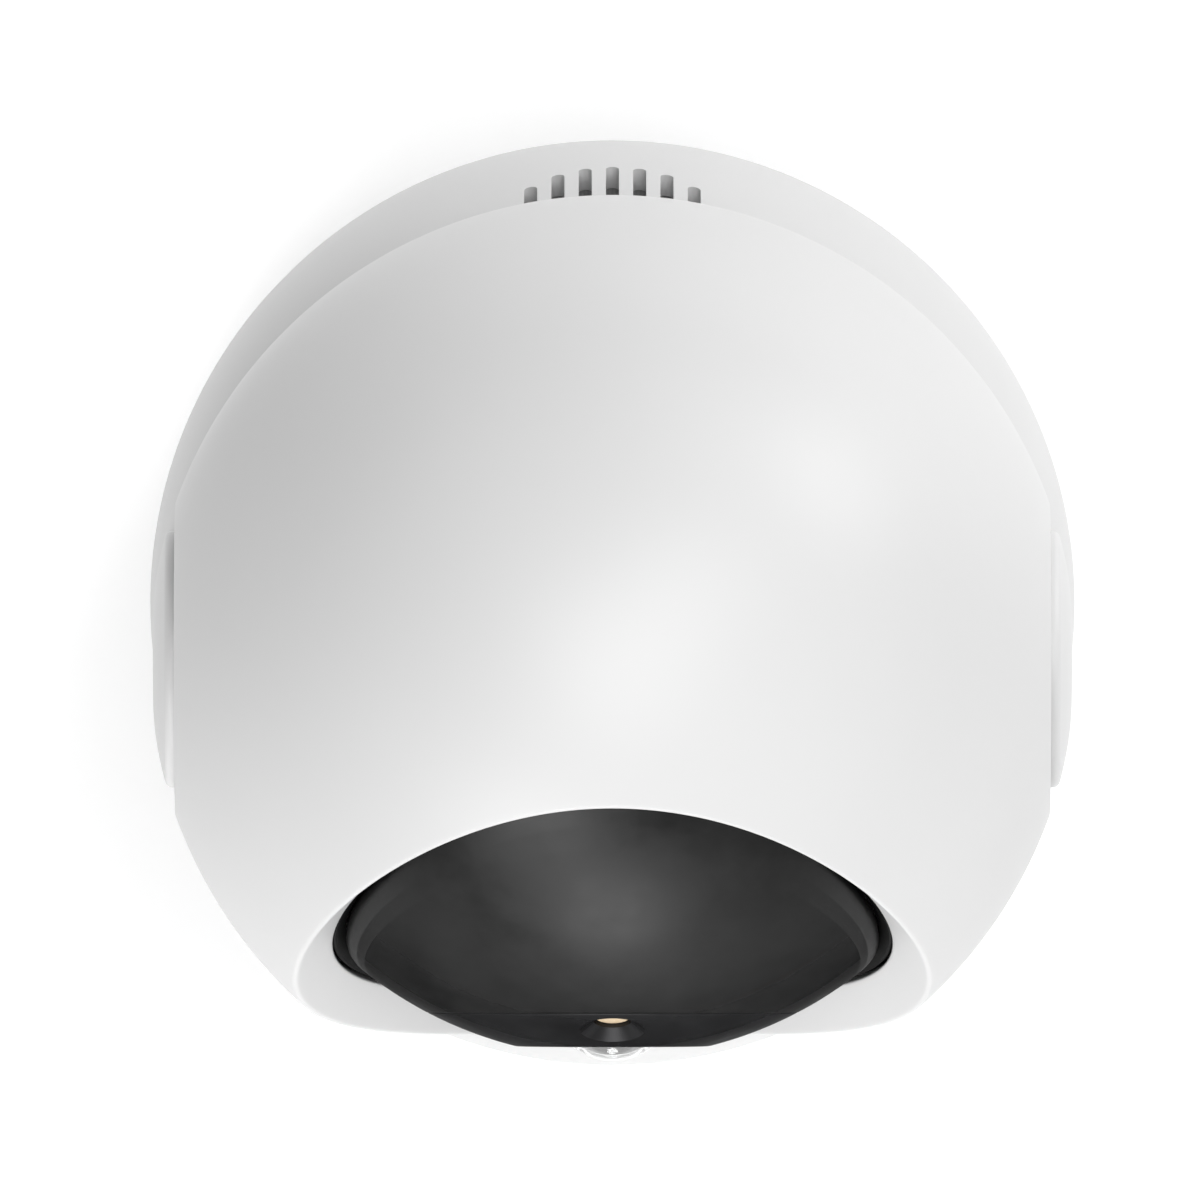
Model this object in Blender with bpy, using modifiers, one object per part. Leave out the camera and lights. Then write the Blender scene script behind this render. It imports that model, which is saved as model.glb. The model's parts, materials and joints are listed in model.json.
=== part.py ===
"""Desk security camera: a ball head that tilts between the two arms of a round body, which pans on its base.

Frame: metres, +Z up, the table at z = 0, the pan axis on Z, and the lens looking along -Y.
"""
import math

import bmesh
import bpy
from mathutils import Euler, Matrix, Vector

MM = 0.001
GAP = 0.3 * MM                       # air between two pieces that meet

# The head: a ball with two flat sides, which tilts about the X axis through its centre.
HEAD_CENTRE = Vector((0.0, -5.3, 74.3)) * MM
HEAD_RADIUS = 43.4 * MM
HEAD_WALL = 2.2 * MM
HEAD_FLAT_X = 40.9 * MM              # half the width across the flat sides
OPENING_RISE = math.radians(18.0)    # the opening's axis looks up from the lens axis
OPENING_HALF_WIDTH = math.radians(43.0)
OPENING_HALF_HEIGHT = math.radians(53.3)
LIP_RADIUS = 38.2 * MM               # how far in the opening's lip reaches
LIP_SCALE = 1.06                     # outside of the lip, as a scale of the opening's cone
REAR_COVER_ANGLE = math.radians(210)  # turn about X that points +Z backwards and down
REAR_COVER_SPREAD = math.radians(40)

# The black face inside the opening.
FACE_RADIUS = 37.3 * MM
FACE_WALL = 2.2 * MM
FACE_SCALE = 0.995                   # the face's edge, as a scale of the opening's cone
BEZEL_SCALE = (1.01, 1.045)          # inside and outside of the bezel ring, as scales of the same cone
WINDOW_SPREAD = math.radians(27.55)
FACET_DISTANCE = 36.2 * MM           # the flat round the lens, from the head's centre
LENS_RADIUS = 3.83 * MM
LENS_RISE = 1.36 * MM
LENS_HOLE_RADIUS = 3.95 * MM
SENSOR_RISE = math.radians(21.6)
SENSOR_RADIUS = 1.4 * MM
CARD_RISE = math.radians(-56)        # the card slot and the button look forwards and down
BUTTON_X = 9.0 * MM
CARD_X = -3.0 * MM

# The body: a hollow ball, cut off below, with a cup on top for the head and an arm on each side.
BODY_CENTRE = Vector((0.0, 0.0, 34.3)) * MM
BODY_RADIUS = 43.6 * MM
BODY_WALL = 2.2 * MM
BODY_FOOT_Z = 11.5 * MM
CUP_RADIUS = 44.0 * MM
CUP_WALL = 1.4 * MM
ARM_HALF_WIDTH = 12.0 * MM
ARM_OUTER_X = 43.06 * MM
ARM_INNER_X = 41.2 * MM
ARM_ROUND_RADIUS = 43.4 * MM
AXLE_RADIUS = 3.0 * MM
SLOT_COUNT = 7
SLOT_PITCH = 2.56 * MM
SLOT_WIDTH = 1.23 * MM
GRILLE_RADIUS = 10.3 * MM
GRILLE_ANGLE = math.radians(56.4)    # the middle of the grille's circle, from the vertical
SLOT_TOP_ANGLE = math.radians(59.3)

# The base.
BASE_TOP_Z = 11.0 * MM
BASE_DECK = 1.8 * MM
BASE_BOTTOM_Z = 0.9 * MM
BASE_RADIUS_LOW = 34.4 * MM
BASE_RADIUS_HIGH = 36.2 * MM
BASE_BORE = 32.2 * MM
SHAFT_RADIUS = 7.7 * MM
SHAFT_BORE = 5.2 * MM
BASE_SCREW_CIRCLE = 22.0 * MM
FLOOR_SCREW_CIRCLE = 31.8 * MM

# The gears. Each pinion rides on the moving side and rolls round a fixed gear.
PRESSURE_ANGLE = math.radians(25)
PAN_MODULE = 1.2 * MM
PAN_GEAR_TEETH = 30
PAN_PINION_TEETH = 10
TILT_MODULE = 0.8 * MM
TILT_GEAR_TEETH = 30
TILT_PINION_TEETH = 10
PAN_MOTOR_ANGLE = math.radians(180)
TILT_MOTOR_ANGLE = math.radians(-45)
GEAR_FACE = 3.5 * MM
TILT_GEAR_FACE = 3.0 * MM
TILT_GEAR_X = -34.5 * MM             # outer side of the tilt gears

SEGMENTS = 32                        # round the large pieces
SKIN = 36                            # round the two white balls and the black face
FINE = 18                            # round the small ones
SCREW_STEPS = 8
FORWARD = math.radians(90)           # turn about X that points +Z along -Y
ALONG_X = Euler((math.radians(90), 0.0, math.radians(90)))   # local X, Y, Z to world Y, Z, X

PALETTE = {
    "white_plastic": ((0.84, 0.84, 0.84), 0.38, 0.0),
    "grey_plastic": ((0.55, 0.56, 0.57), 0.5, 0.0),
    "black_gloss": ((0.012, 0.012, 0.013), 0.16, 0.0),
    "black_matt": ((0.02, 0.02, 0.022), 0.55, 0.0),
    "clear_glass": ((0.8, 0.82, 0.84), 0.05, 0.0),
    "gold_cell": ((0.8, 0.58, 0.38), 0.4, 0.3),
    "circuit_board": ((0.02, 0.13, 0.06), 0.45, 0.0),
    "steel": ((0.62, 0.62, 0.63), 0.3, 1.0),
    "bearing_plastic": ((0.78, 0.76, 0.7), 0.45, 0.0),
    "rubber": ((0.06, 0.06, 0.06), 0.85, 0.0),
}


# ---------------------------------------------------------------- scene and helpers

def clear_scene():
    for old in list(bpy.data.objects):
        bpy.data.objects.remove(old, do_unlink=True)


def new_collection(name, hidden=False):
    group = bpy.data.collections.new(name)
    bpy.context.scene.collection.children.link(group)
    group.hide_render = hidden
    return group


def make_materials():
    for name, (colour, roughness, metallic) in PALETTE.items():
        material = bpy.data.materials.new(name)
        material.use_nodes = True
        shader = material.node_tree.nodes["Principled BSDF"]
        shader.inputs["Base Color"].default_value = (*colour, 1.0)
        shader.inputs["Roughness"].default_value = roughness
        shader.inputs["Metallic"].default_value = metallic


def point(angle, radius):
    """A place on a circle about the origin, in the plane of a turned profile or an outline."""
    return (radius * math.cos(angle), radius * math.sin(angle))


def arc(radius, start, end, steps):
    """Points along an arc, both ends included, with its angles in radians."""
    return [point(start + (end - start) * i / steps, radius) for i in range(steps + 1)]


def add_object(name, mesh, location=(0, 0, 0), rotation=(0, 0, 0)):
    solid = bpy.data.objects.new(name, mesh)
    solid.location = location
    solid.rotation_euler = rotation
    CUTTERS.objects.link(solid)
    solid.hide_render = True
    solid.display_type = 'WIRE'
    bpy.context.view_layer.update()
    return solid


def bake(solid):
    """Replace an object's mesh with what its modifiers make of it."""
    bpy.context.view_layer.update()
    graph = bpy.context.evaluated_depsgraph_get()
    baked = bpy.data.meshes.new_from_object(solid.evaluated_get(graph))
    solid.modifiers.clear()
    solid.data = baked
    return solid


def close_mesh(mesh, merge=0.002 * MM):
    """Weld doubled corners and point every face outwards."""
    work = bmesh.new()
    work.from_mesh(mesh)
    bmesh.ops.remove_doubles(work, verts=work.verts, dist=merge)
    bmesh.ops.recalc_face_normals(work, faces=work.faces)
    work.to_mesh(mesh)
    work.free()


def primitive(name, build, location=(0, 0, 0), rotation=(0, 0, 0)):
    work = bmesh.new()
    build(work)
    mesh = bpy.data.meshes.new(name)
    work.to_mesh(mesh)
    work.free()
    return add_object(name, mesh, location, rotation)


def ball(name, radius, centre, segments=SEGMENTS, rotation=(0, 0, 0)):
    def build(work):
        bmesh.ops.create_uvsphere(work, u_segments=segments, v_segments=segments // 2, radius=radius)
    return primitive(name, build, centre, rotation)


def box(name, low, high, rotation=(0, 0, 0), location=(0, 0, 0)):
    """A box between two corners, given in the object's own axes."""
    low, high = Vector(low), Vector(high)
    place = Matrix.Translation((low + high) / 2) @ Matrix.Diagonal((*(high - low), 1.0))

    def build(work):
        bmesh.ops.create_cube(work, size=1.0, matrix=place)
    return primitive(name, build, location, rotation)


def cylinder(name, radius, z_low, z_high, location=(0, 0, 0), rotation=(0, 0, 0), segments=FINE, top=None):
    """A cylinder, or a cone with its own top radius, along the object's Z axis."""
    place = Matrix.Translation((0, 0, (z_low + z_high) / 2))
    end = radius if top is None else top

    def build(work):
        bmesh.ops.create_cone(work, cap_ends=True, segments=segments, radius1=radius, radius2=end,
                              depth=z_high - z_low, matrix=place)
    return primitive(name, build, location, rotation)


def turned(name, profile, location=(0, 0, 0), rotation=(0, 0, 0), steps=SEGMENTS):
    """Turn a profile of (radius, height) points about Z. One that starts off the axis is a closed ring."""
    mesh = bpy.data.meshes.new(name)
    corners = [(radius, 0.0, height) for radius, height in profile]
    edges = [(i, i + 1) for i in range(len(corners) - 1)]
    if profile[0][0] > 0.0:
        edges.append((len(corners) - 1, 0))
    mesh.from_pydata(corners, edges, [])
    solid = add_object(name, mesh, location, rotation)
    screw = solid.modifiers.new("Turn", 'SCREW')
    screw.steps = steps
    screw.render_steps = steps
    screw.use_merge_vertices = True
    screw.merge_threshold = 0.001 * MM
    bake(solid)
    close_mesh(solid.data)
    return solid


def plate(name, outline, thickness, location=(0, 0, 0), rotation=(0, 0, 0)):
    """A flat outline, thickened from z = 0 up to its thickness."""
    curve = bpy.data.curves.new(name, 'CURVE')
    curve.dimensions = '2D'
    curve.fill_mode = 'BOTH'
    curve.extrude = thickness / 2
    spline = curve.splines.new('POLY')
    spline.points.add(len(outline) - 1)
    for corner, (x, y) in zip(spline.points, outline):
        corner.co = (x, y, 0.0, 1.0)
    spline.use_cyclic_u = True
    drawn = bpy.data.objects.new(name + "_curve", curve)
    CUTTERS.objects.link(drawn)
    bpy.context.view_layer.update()
    graph = bpy.context.evaluated_depsgraph_get()
    mesh = bpy.data.meshes.new_from_object(drawn.evaluated_get(graph))
    bpy.data.objects.remove(drawn, do_unlink=True)
    close_mesh(mesh)
    mesh.transform(Matrix.Translation((0, 0, thickness / 2)))
    return add_object(name, mesh, location, rotation)


def combine(solid, other, operation):
    """Cut, join or intersect a solid with another, which is used up."""
    boolean = solid.modifiers.new(operation, 'BOOLEAN')
    boolean.operation = operation
    boolean.solver = 'EXACT'
    boolean.object = other
    bake(solid)
    bpy.data.objects.remove(other, do_unlink=True)
    return solid


def cut(solid, *others):
    for other in others:
        combine(solid, other, 'DIFFERENCE')
    return solid


def join(solid, *others):
    for other in others:
        combine(solid, other, 'UNION')
    return solid


def keep(solid, *others):
    for other in others:
        combine(solid, other, 'INTERSECT')
    return solid


def finish(solid, material, carrier, flat=False):
    """Make a solid one of the camera's pieces: its material, its shading and what it rides on."""
    mesh = solid.data
    close_mesh(mesh)
    mesh.materials.clear()
    mesh.materials.append(bpy.data.materials[material])
    if not flat:
        mesh.shade_smooth()
        mesh.set_sharp_from_angle(angle=math.radians(32))
    CUTTERS.objects.unlink(solid)
    PIECES.objects.link(solid)
    solid.hide_render = False
    solid.display_type = 'TEXTURED'
    solid.parent = carrier
    solid.matrix_parent_inverse = carrier.matrix_world.inverted()
    return solid


def add_axis(name, place, carrier=None):
    empty = bpy.data.objects.new(name, None)
    empty.empty_display_size = 0.02
    PIECES.objects.link(empty)
    empty.location = place
    if carrier:
        empty.parent = carrier
        empty.matrix_parent_inverse = carrier.matrix_world.inverted()
    bpy.context.view_layer.update()
    return empty


def aim(rise):
    """The turn that points an object's Z axis forwards, raised by an angle."""
    return (FORWARD - rise, 0.0, 0.0)


def direction(rise):
    return Vector((0.0, -math.cos(rise), math.sin(rise)))


def gear_outline(teeth, module, phase):
    """An involute gear with short teeth and a little play. One tooth is centred on the phase angle."""
    pitch = teeth * module / 2
    base = pitch * math.cos(PRESSURE_ANGLE)
    tip = pitch + 0.75 * module
    root = pitch - 1.0 * module
    involute = math.tan(PRESSURE_ANGLE) - PRESSURE_ANGLE
    half_tooth = math.pi / (2 * teeth) - 0.07 * module / pitch
    flank = []
    for radius in (max(base, root), tip):
        slope = math.acos(min(1.0, base / radius))
        flank.append((radius, half_tooth + involute - (math.tan(slope) - slope)))
    if root < base:
        flank.insert(0, (root, flank[0][1]))
    outline = []
    for tooth in range(teeth):
        middle = phase + tooth * 2 * math.pi / teeth
        outline += [point(middle - angle, radius) for radius, angle in flank]
        outline += [point(middle + angle, radius) for radius, angle in reversed(flank)]
    return outline


def screw_solid(name, head_radius, head_height, shank_radius, length, location, rotation=(0, 0, 0)):
    """A pan-head screw. Its head is at the object's origin and its shank runs up +Z."""
    profile = [(0.0, length), (shank_radius * 0.6, length), (shank_radius, length - shank_radius),
               (shank_radius, head_height), (head_radius, head_height), (head_radius, 0.25 * head_height),
               (head_radius * 0.8, 0.0), (0.0, 0.0)]
    screw = turned(name, profile, location, rotation, steps=SCREW_STEPS)
    recess = box("recess", (-head_radius * 0.6, -0.25 * MM, -1 * MM),
                 (head_radius * 0.6, 0.25 * MM, head_height * 0.55), rotation, location)
    return cut(screw, recess)


def screw_hole(bore, head_room, step, location, rotation=(0, 0, 0)):
    """A cutter for a screw's hole: wide below the step's height, narrow above it."""
    reach = 25 * MM
    profile = [(0.0, reach), (bore, reach), (bore, step), (head_room, step), (head_room, -reach), (0.0, -reach)]
    return turned("screw_hole", profile, location, rotation, steps=12)


def around(count, radius, start=0.0):
    """Places evenly spaced round a circle."""
    return [point(start + i * 2 * math.pi / count, radius) for i in range(count)]


# ---------------------------------------------------------------- base

BASE_SCREW_START = math.radians(30)
FLOOR_SCREW_START = 0.0
FOOT_INNER = 27.5 * MM
FOOT_OUTER = 30.5 * MM
FOOT_HEIGHT = 1.4 * MM
PLATE_TOP_Z = 2.9 * MM
INLET_HALF_WIDTH = 3.8 * MM
INLET_Z = (4.9 * MM, 7.9 * MM)
INLET_Y = (22.0 * MM, 30.8 * MM)


def make_foot_ring(carrier):
    profile = [(FOOT_INNER, FOOT_HEIGHT), (FOOT_OUTER, FOOT_HEIGHT), (FOOT_OUTER, 0.0), (FOOT_INNER, 0.0)]
    finish(turned("foot_ring", profile), "rubber", carrier)


def make_base_plate(carrier):
    outer = BASE_BORE - GAP
    groove_in, groove_out = FOOT_INNER - GAP, FOOT_OUTER + GAP
    groove_z = FOOT_HEIGHT + GAP
    profile = [(0.0, PLATE_TOP_Z), (outer, PLATE_TOP_Z), (outer, BASE_BOTTOM_Z), (groove_out, BASE_BOTTOM_Z),
               (groove_out, groove_z), (groove_in, groove_z), (groove_in, BASE_BOTTOM_Z), (0.0, BASE_BOTTOM_Z)]
    solid = turned("base_plate", profile)
    for x, y in around(3, BASE_SCREW_CIRCLE, BASE_SCREW_START):
        cut(solid, screw_hole(1.8 * MM, 3.0 * MM, 2.1 * MM, (x, y, 0)))
    for side in (-1, 1):
        # the two slots that a wall bracket's hooks go into
        middle = side * 13.0 * MM
        cut(solid, box("bracket_slot", (middle - 1.7 * MM, -5 * MM, -1 * MM),
                       (middle + 1.7 * MM, 5 * MM, 4 * MM)))
    finish(solid, "grey_plastic", carrier)


def make_base_housing(carrier):
    deck_low = BASE_TOP_Z - BASE_DECK
    hole = SHAFT_RADIUS + GAP
    edge = 0.6 * MM
    profile = [(hole, BASE_TOP_Z), (BASE_RADIUS_HIGH - edge, BASE_TOP_Z), (BASE_RADIUS_HIGH, BASE_TOP_Z - edge),
               (BASE_RADIUS_LOW, BASE_BOTTOM_Z), (BASE_BORE, BASE_BOTTOM_Z), (BASE_BORE, deck_low),
               (hole, deck_low)]
    solid = turned("base_housing", profile)
    for x, y in around(3, BASE_SCREW_CIRCLE, BASE_SCREW_START):
        boss = cylinder("boss", 3.0 * MM, PLATE_TOP_Z + GAP, deck_low + 0.5 * MM, (x, y, 0), segments=12)
        join(solid, boss)
        cut(solid, cylinder("bore", 1.7 * MM, 0.0, deck_low - 0.4 * MM, (x, y, 0), segments=12))
    inlet = box("inlet", (-5.5 * MM, BASE_BORE - 3 * MM, 3.3 * MM), (5.5 * MM, 40 * MM, 8.9 * MM))
    cut(solid, inlet)
    finish(solid, "white_plastic", carrier)


def make_base_screws(carrier):
    for number, (x, y) in enumerate(around(3, BASE_SCREW_CIRCLE, BASE_SCREW_START), 1):
        solid = screw_solid(f"base_screw_{number}", 2.6 * MM, 0.9 * MM, 1.35 * MM, 7.2 * MM,
                            (x, y, BASE_BOTTOM_Z - 0.1 * MM))
        finish(solid, "steel", carrier)


def make_power_board(carrier):
    solid = box("power_board", (-12 * MM, 8 * MM, 3.4 * MM), (12 * MM, 29.2 * MM, 4.6 * MM))
    finish(solid, "circuit_board", carrier, flat=True)


def make_power_inlet(carrier):
    low_z, high_z = INLET_Z
    front, back = INLET_Y[1], INLET_Y[0]
    wall = 0.45 * MM
    solid = box("power_inlet", (-INLET_HALF_WIDTH, back, low_z), (INLET_HALF_WIDTH, front, high_z))
    cut(solid, box("mouth", (-INLET_HALF_WIDTH + wall, back + 1 * MM, low_z + wall),
                   (INLET_HALF_WIDTH - wall, front + 1 * MM, high_z - wall)))
    middle = (low_z + high_z) / 2
    join(solid, box("tongue", (-2.2 * MM, back + 0.5 * MM, middle - 0.3 * MM),
                    (2.2 * MM, front - 1 * MM, middle + 0.3 * MM)))
    finish(solid, "steel", carrier, flat=True)


def make_pan_shaft(carrier):
    """The hollow post the body turns on. Its flange is under the base's deck."""
    flange_top = BASE_TOP_Z - BASE_DECK - GAP
    profile = [(SHAFT_BORE, 22 * MM), (SHAFT_RADIUS, 22 * MM), (SHAFT_RADIUS, flange_top),
               (11 * MM, flange_top), (11 * MM, flange_top - 1.7 * MM), (SHAFT_BORE, flange_top - 1.7 * MM)]
    finish(turned("pan_shaft", profile, steps=SEGMENTS), "bearing_plastic", carrier)


def make_pan_gear(carrier):
    """The fixed gear on the post. The motor's pinion walks round it."""
    phase = PAN_MOTOR_ANGLE
    solid = plate("pan_gear", gear_outline(PAN_GEAR_TEETH, PAN_MODULE, phase), GEAR_FACE, (0, 0, 15 * MM))
    cut(solid, cylinder("bore", SHAFT_RADIUS + GAP, 10 * MM, 25 * MM, segments=32))
    finish(solid, "bearing_plastic", carrier, flat=True)


def make_gear_clip(carrier):
    profile = [(SHAFT_RADIUS + GAP, 20 * MM), (10.5 * MM, 20 * MM), (10.5 * MM, 18.8 * MM),
               (SHAFT_RADIUS + GAP, 18.8 * MM)]
    finish(turned("gear_clip", profile, steps=SEGMENTS), "steel", carrier)


# ---------------------------------------------------------------- body

def arm_bar():
    """The bar across the head that both arms are cut from: round on top, and round in plan."""
    y, z = HEAD_CENTRE.y, HEAD_CENTRE.z
    blend_top, blend_drop, blend_in = BODY_CENTRE.z + 4 * MM, 19 * MM, 4.4 * MM
    low = blend_top - blend_drop - 1 * MM
    outline = [(y + across, z + up) for across, up in arc(ARM_HALF_WIDTH, 0.0, math.pi, 14)]
    outline += [(y - ARM_HALF_WIDTH, low), (y + ARM_HALF_WIDTH, low)]
    bar = plate("arms", outline, 2 * ARM_OUTER_X, (-ARM_OUTER_X, 0, 0), ALONG_X)
    dome = [(across, up) for across, up in arc(ARM_ROUND_RADIUS, math.radians(90), 0.0, 12)]
    dome[0] = (0.0, ARM_ROUND_RADIUS)
    # below the body's widest ring the arms curve in and sink into the body
    steps = 5
    for i in range(steps + 1):
        share = i / steps
        dome.append((ARM_ROUND_RADIUS - blend_in * share ** 2, blend_top - blend_drop * share - z))
    dome.append((0.0, blend_top - blend_drop - z))
    return keep(bar, turned("round", dome, HEAD_CENTRE, steps=60))


def head_room():
    """The space of the head inside the cup and between the arms."""
    space = ball("head_room", CUP_RADIUS, HEAD_CENTRE, rotation=(0, math.radians(90), 0))
    reach = 60 * MM
    return keep(space, box("slab", (-ARM_INNER_X, -reach, -reach), (ARM_INNER_X, reach, reach),
                           location=HEAD_CENTRE))


def cut_grille(solid):
    """Upright slots through the back of the body, whose lower ends lie on a circle."""
    for number in range(SLOT_COUNT):
        across = (number - (SLOT_COUNT - 1) / 2) * SLOT_PITCH
        drop = math.sqrt(GRILLE_RADIUS ** 2 - across ** 2) / BODY_RADIUS
        last = GRILLE_ANGLE + drop
        middle = (SLOT_TOP_ANGLE + last) / 2
        half = (last - SLOT_TOP_ANGLE) / 2 * BODY_RADIUS
        straight = half - SLOT_WIDTH / 2
        outline = [(x, y + straight) for x, y in arc(SLOT_WIDTH / 2, 0.0, math.pi, 6)]
        outline += [(-x, -y - straight) for x, y in arc(SLOT_WIDTH / 2, 0.0, math.pi, 6)]
        outward = Vector((0, math.sin(middle), math.cos(middle)))
        place = BODY_CENTRE + outward * 38 * MM + Vector((across, 0, 0))
        cut(solid, plate("slot", outline, 10 * MM, place, (-middle, 0, 0)))


def make_body_shell(carrier):
    solid = ball("body_shell", BODY_RADIUS, BODY_CENTRE, segments=SKIN)
    join(solid, arm_bar())
    cut(solid, head_room())
    cut(solid, ball("hollow", BODY_RADIUS - BODY_WALL, BODY_CENTRE))
    reach = 60 * MM
    cut(solid, box("below", (-reach, -reach, -reach), (reach, reach, BODY_FOOT_Z)))
    for angle in [FLOOR_SCREW_START + i * 2 * math.pi / 3 for i in range(3)]:
        block = box("boss", (29.3 * MM, -2.6 * MM, 15 * MM), (38 * MM, 2.6 * MM, 21.5 * MM), (0, 0, angle))
        join(solid, block)
        x, y = point(angle, FLOOR_SCREW_CIRCLE)
        cut(solid, cylinder("bore", 1.5 * MM, 14 * MM, 20 * MM, (x, y, 0), segments=12))
    for side in (-1, 1):
        # the blind hole for the tilt axle, in the arm's inner face
        start, end = sorted((side * (ARM_INNER_X - 2 * MM), side * (ARM_INNER_X + 1.3 * MM)))
        cut(solid, cylinder("socket", AXLE_RADIUS + GAP, start, end, HEAD_CENTRE, ALONG_X))
    cut_grille(solid)
    finish(solid, "white_plastic", carrier)


def make_body_floor(carrier):
    """The moving floor. It runs on a washer, in a recess under it."""
    outer = 34.1 * MM
    low, high = 11.6 * MM, 14.6 * MM
    recess = 15 * MM
    hole = SHAFT_RADIUS + GAP
    profile = [(hole, high), (outer, high), (outer, low), (recess, low), (recess, 12.9 * MM), (hole, 12.9 * MM)]
    solid = turned("body_floor", profile)
    for x, y in around(3, FLOOR_SCREW_CIRCLE, FLOOR_SCREW_START):
        # screws come up through the rim, whose edge they notch
        cut(solid, screw_hole(1.5 * MM, 2.2 * MM, 13 * MM, (x, y, 0)))
    finish(solid, "grey_plastic", carrier)


def make_pan_washer(carrier):
    profile = [(8.6 * MM, 12.6 * MM), (14.4 * MM, 12.6 * MM), (14.4 * MM, 11.3 * MM), (8.6 * MM, 11.3 * MM)]
    finish(turned("pan_washer", profile, steps=SEGMENTS), "bearing_plastic", carrier)


def make_floor_screws(carrier):
    for number, (x, y) in enumerate(around(3, FLOOR_SCREW_CIRCLE, FLOOR_SCREW_START), 1):
        solid = screw_solid(f"floor_screw_{number}", 1.9 * MM, 0.9 * MM, 1.15 * MM, 7.2 * MM,
                            (x, y, 11.8 * MM))
        finish(solid, "steel", carrier)


def make_cradle_bowl(carrier):
    """The cup under the head: a thin bowl whose rim meets the shell's inside."""
    solid = ball("cradle_bowl", CUP_RADIUS + CUP_WALL, HEAD_CENTRE, rotation=(0, math.radians(90), 0))
    keep(solid, ball("inside", BODY_RADIUS - BODY_WALL - 0.5 * MM, BODY_CENTRE))
    cut(solid, ball("head_room", CUP_RADIUS, HEAD_CENTRE, rotation=(0, math.radians(90), 0)))
    finish(solid, "white_plastic", carrier)


def make_main_board(carrier):
    radius, front = 34 * MM, 11.5 * MM
    start = math.asin(front / radius)
    outline = arc(radius, start, math.pi - start, 20)
    solid = plate("main_board", outline, 1.4 * MM, (0, 0, 21.9 * MM))
    finish(solid, "circuit_board", carrier, flat=True)


def make_speaker(carrier):
    """A small round speaker against the inside of the back wall, just under the slots."""
    tilt = math.radians(78)
    outward = Vector((0, math.sin(tilt), math.cos(tilt)))
    profile = [(0.0, 3.4 * MM), (3 * MM, 3.4 * MM), (6 * MM, 4.1 * MM), (7 * MM, 4.1 * MM), (7 * MM, 2.4 * MM),
               (5 * MM, 1.6 * MM), (5 * MM, 0.0), (0.0, 0.0)]
    place = BODY_CENTRE + outward * 35.9 * MM
    finish(turned("speaker", profile, place, (-tilt, 0, 0), steps=FINE), "black_matt", carrier)


def motor(name, radius, length, location, rotation, ear_reach):
    """A small round gear motor with two ears and a round nose, along +Z."""
    nose = radius * 0.45
    profile = [(0.0, length), (nose, length), (nose, length - 0.8 * MM), (radius - 0.5 * MM, length - 0.8 * MM),
               (radius, length - 1.3 * MM), (radius, 0.0), (0.0, 0.0)]
    solid = turned(name, profile, location, rotation, steps=FINE)
    ear_top = length - 1.4 * MM
    ears = box("ears", (-ear_reach, -2.2 * MM, ear_top - 1.2 * MM), (ear_reach, 2.2 * MM, ear_top),
               rotation, location)
    return join(solid, ears)


def pan_motor_place(z):
    distance = (PAN_GEAR_TEETH + PAN_PINION_TEETH) * PAN_MODULE / 2
    x, y = point(PAN_MOTOR_ANGLE, distance)
    return Vector((x, y, z))


def make_pan_motor(carrier):
    """The motor hangs nose down over its pinion."""
    turn_over = (math.radians(180), 0, math.radians(90))
    solid = motor("pan_motor", 9.5 * MM, 10.2 * MM, pan_motor_place(29.4 * MM), turn_over, 12.5 * MM)
    finish(solid, "steel", carrier)


def make_pan_pinion(carrier):
    facing = PAN_MOTOR_ANGLE + math.pi
    outline = gear_outline(PAN_PINION_TEETH, PAN_MODULE, facing + math.pi / PAN_PINION_TEETH)
    solid = plate("pan_pinion", outline, GEAR_FACE, pan_motor_place(15 * MM))
    finish(solid, "bearing_plastic", carrier, flat=True)


def make_tilt_axles(carrier):
    """Two short axles, each fixed in an arm. The right one is hollow, for the head's wires."""
    reach = ARM_INNER_X + 1.0 * MM
    left = cylinder("tilt_axle_left", AXLE_RADIUS, -reach, -30.5 * MM, HEAD_CENTRE, ALONG_X)
    finish(left, "steel", carrier)
    right = cylinder("tilt_axle_right", AXLE_RADIUS, 31 * MM, reach, HEAD_CENTRE, ALONG_X)
    cut(right, cylinder("wire_way", 1.8 * MM, 20 * MM, 50 * MM, HEAD_CENTRE, ALONG_X, segments=12))
    finish(right, "steel", carrier)


def make_tilt_gear(carrier):
    """The fixed gear on the left axle."""
    place = HEAD_CENTRE + Vector((TILT_GEAR_X, 0, 0))
    outline = gear_outline(TILT_GEAR_TEETH, TILT_MODULE, TILT_MOTOR_ANGLE)
    solid = plate("tilt_gear", outline, TILT_GEAR_FACE, place, ALONG_X)
    cut(solid, cylinder("bore", AXLE_RADIUS + GAP, -40 * MM, -30 * MM, HEAD_CENTRE, ALONG_X))
    finish(solid, "bearing_plastic", carrier, flat=True)


# ---------------------------------------------------------------- head

def opening_cone(name, scale):
    """The opening's cone: oval, with its point at the head's centre, and raised by the opening's rise."""
    near, far = 4 * MM, 60 * MM
    width = math.tan(OPENING_HALF_WIDTH) * scale
    height = math.tan(OPENING_HALF_HEIGHT) * scale
    place = Matrix.Diagonal((width / height, 1.0, 1.0, 1.0)) @ Matrix.Translation((0, 0, (near + far) / 2))

    def build(work):
        bmesh.ops.create_cone(work, cap_ends=True, segments=SKIN, radius1=near * height, radius2=far * height,
                              depth=far - near, matrix=place)
    return primitive(name, build, HEAD_CENTRE, aim(OPENING_RISE))


def round_cone(name, spread, rotation, segments=36):
    near, far = 4 * MM, 50 * MM
    slope = math.tan(spread)
    return cylinder(name, near * slope, near, far, HEAD_CENTRE, rotation, segments, top=far * slope)


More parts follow.
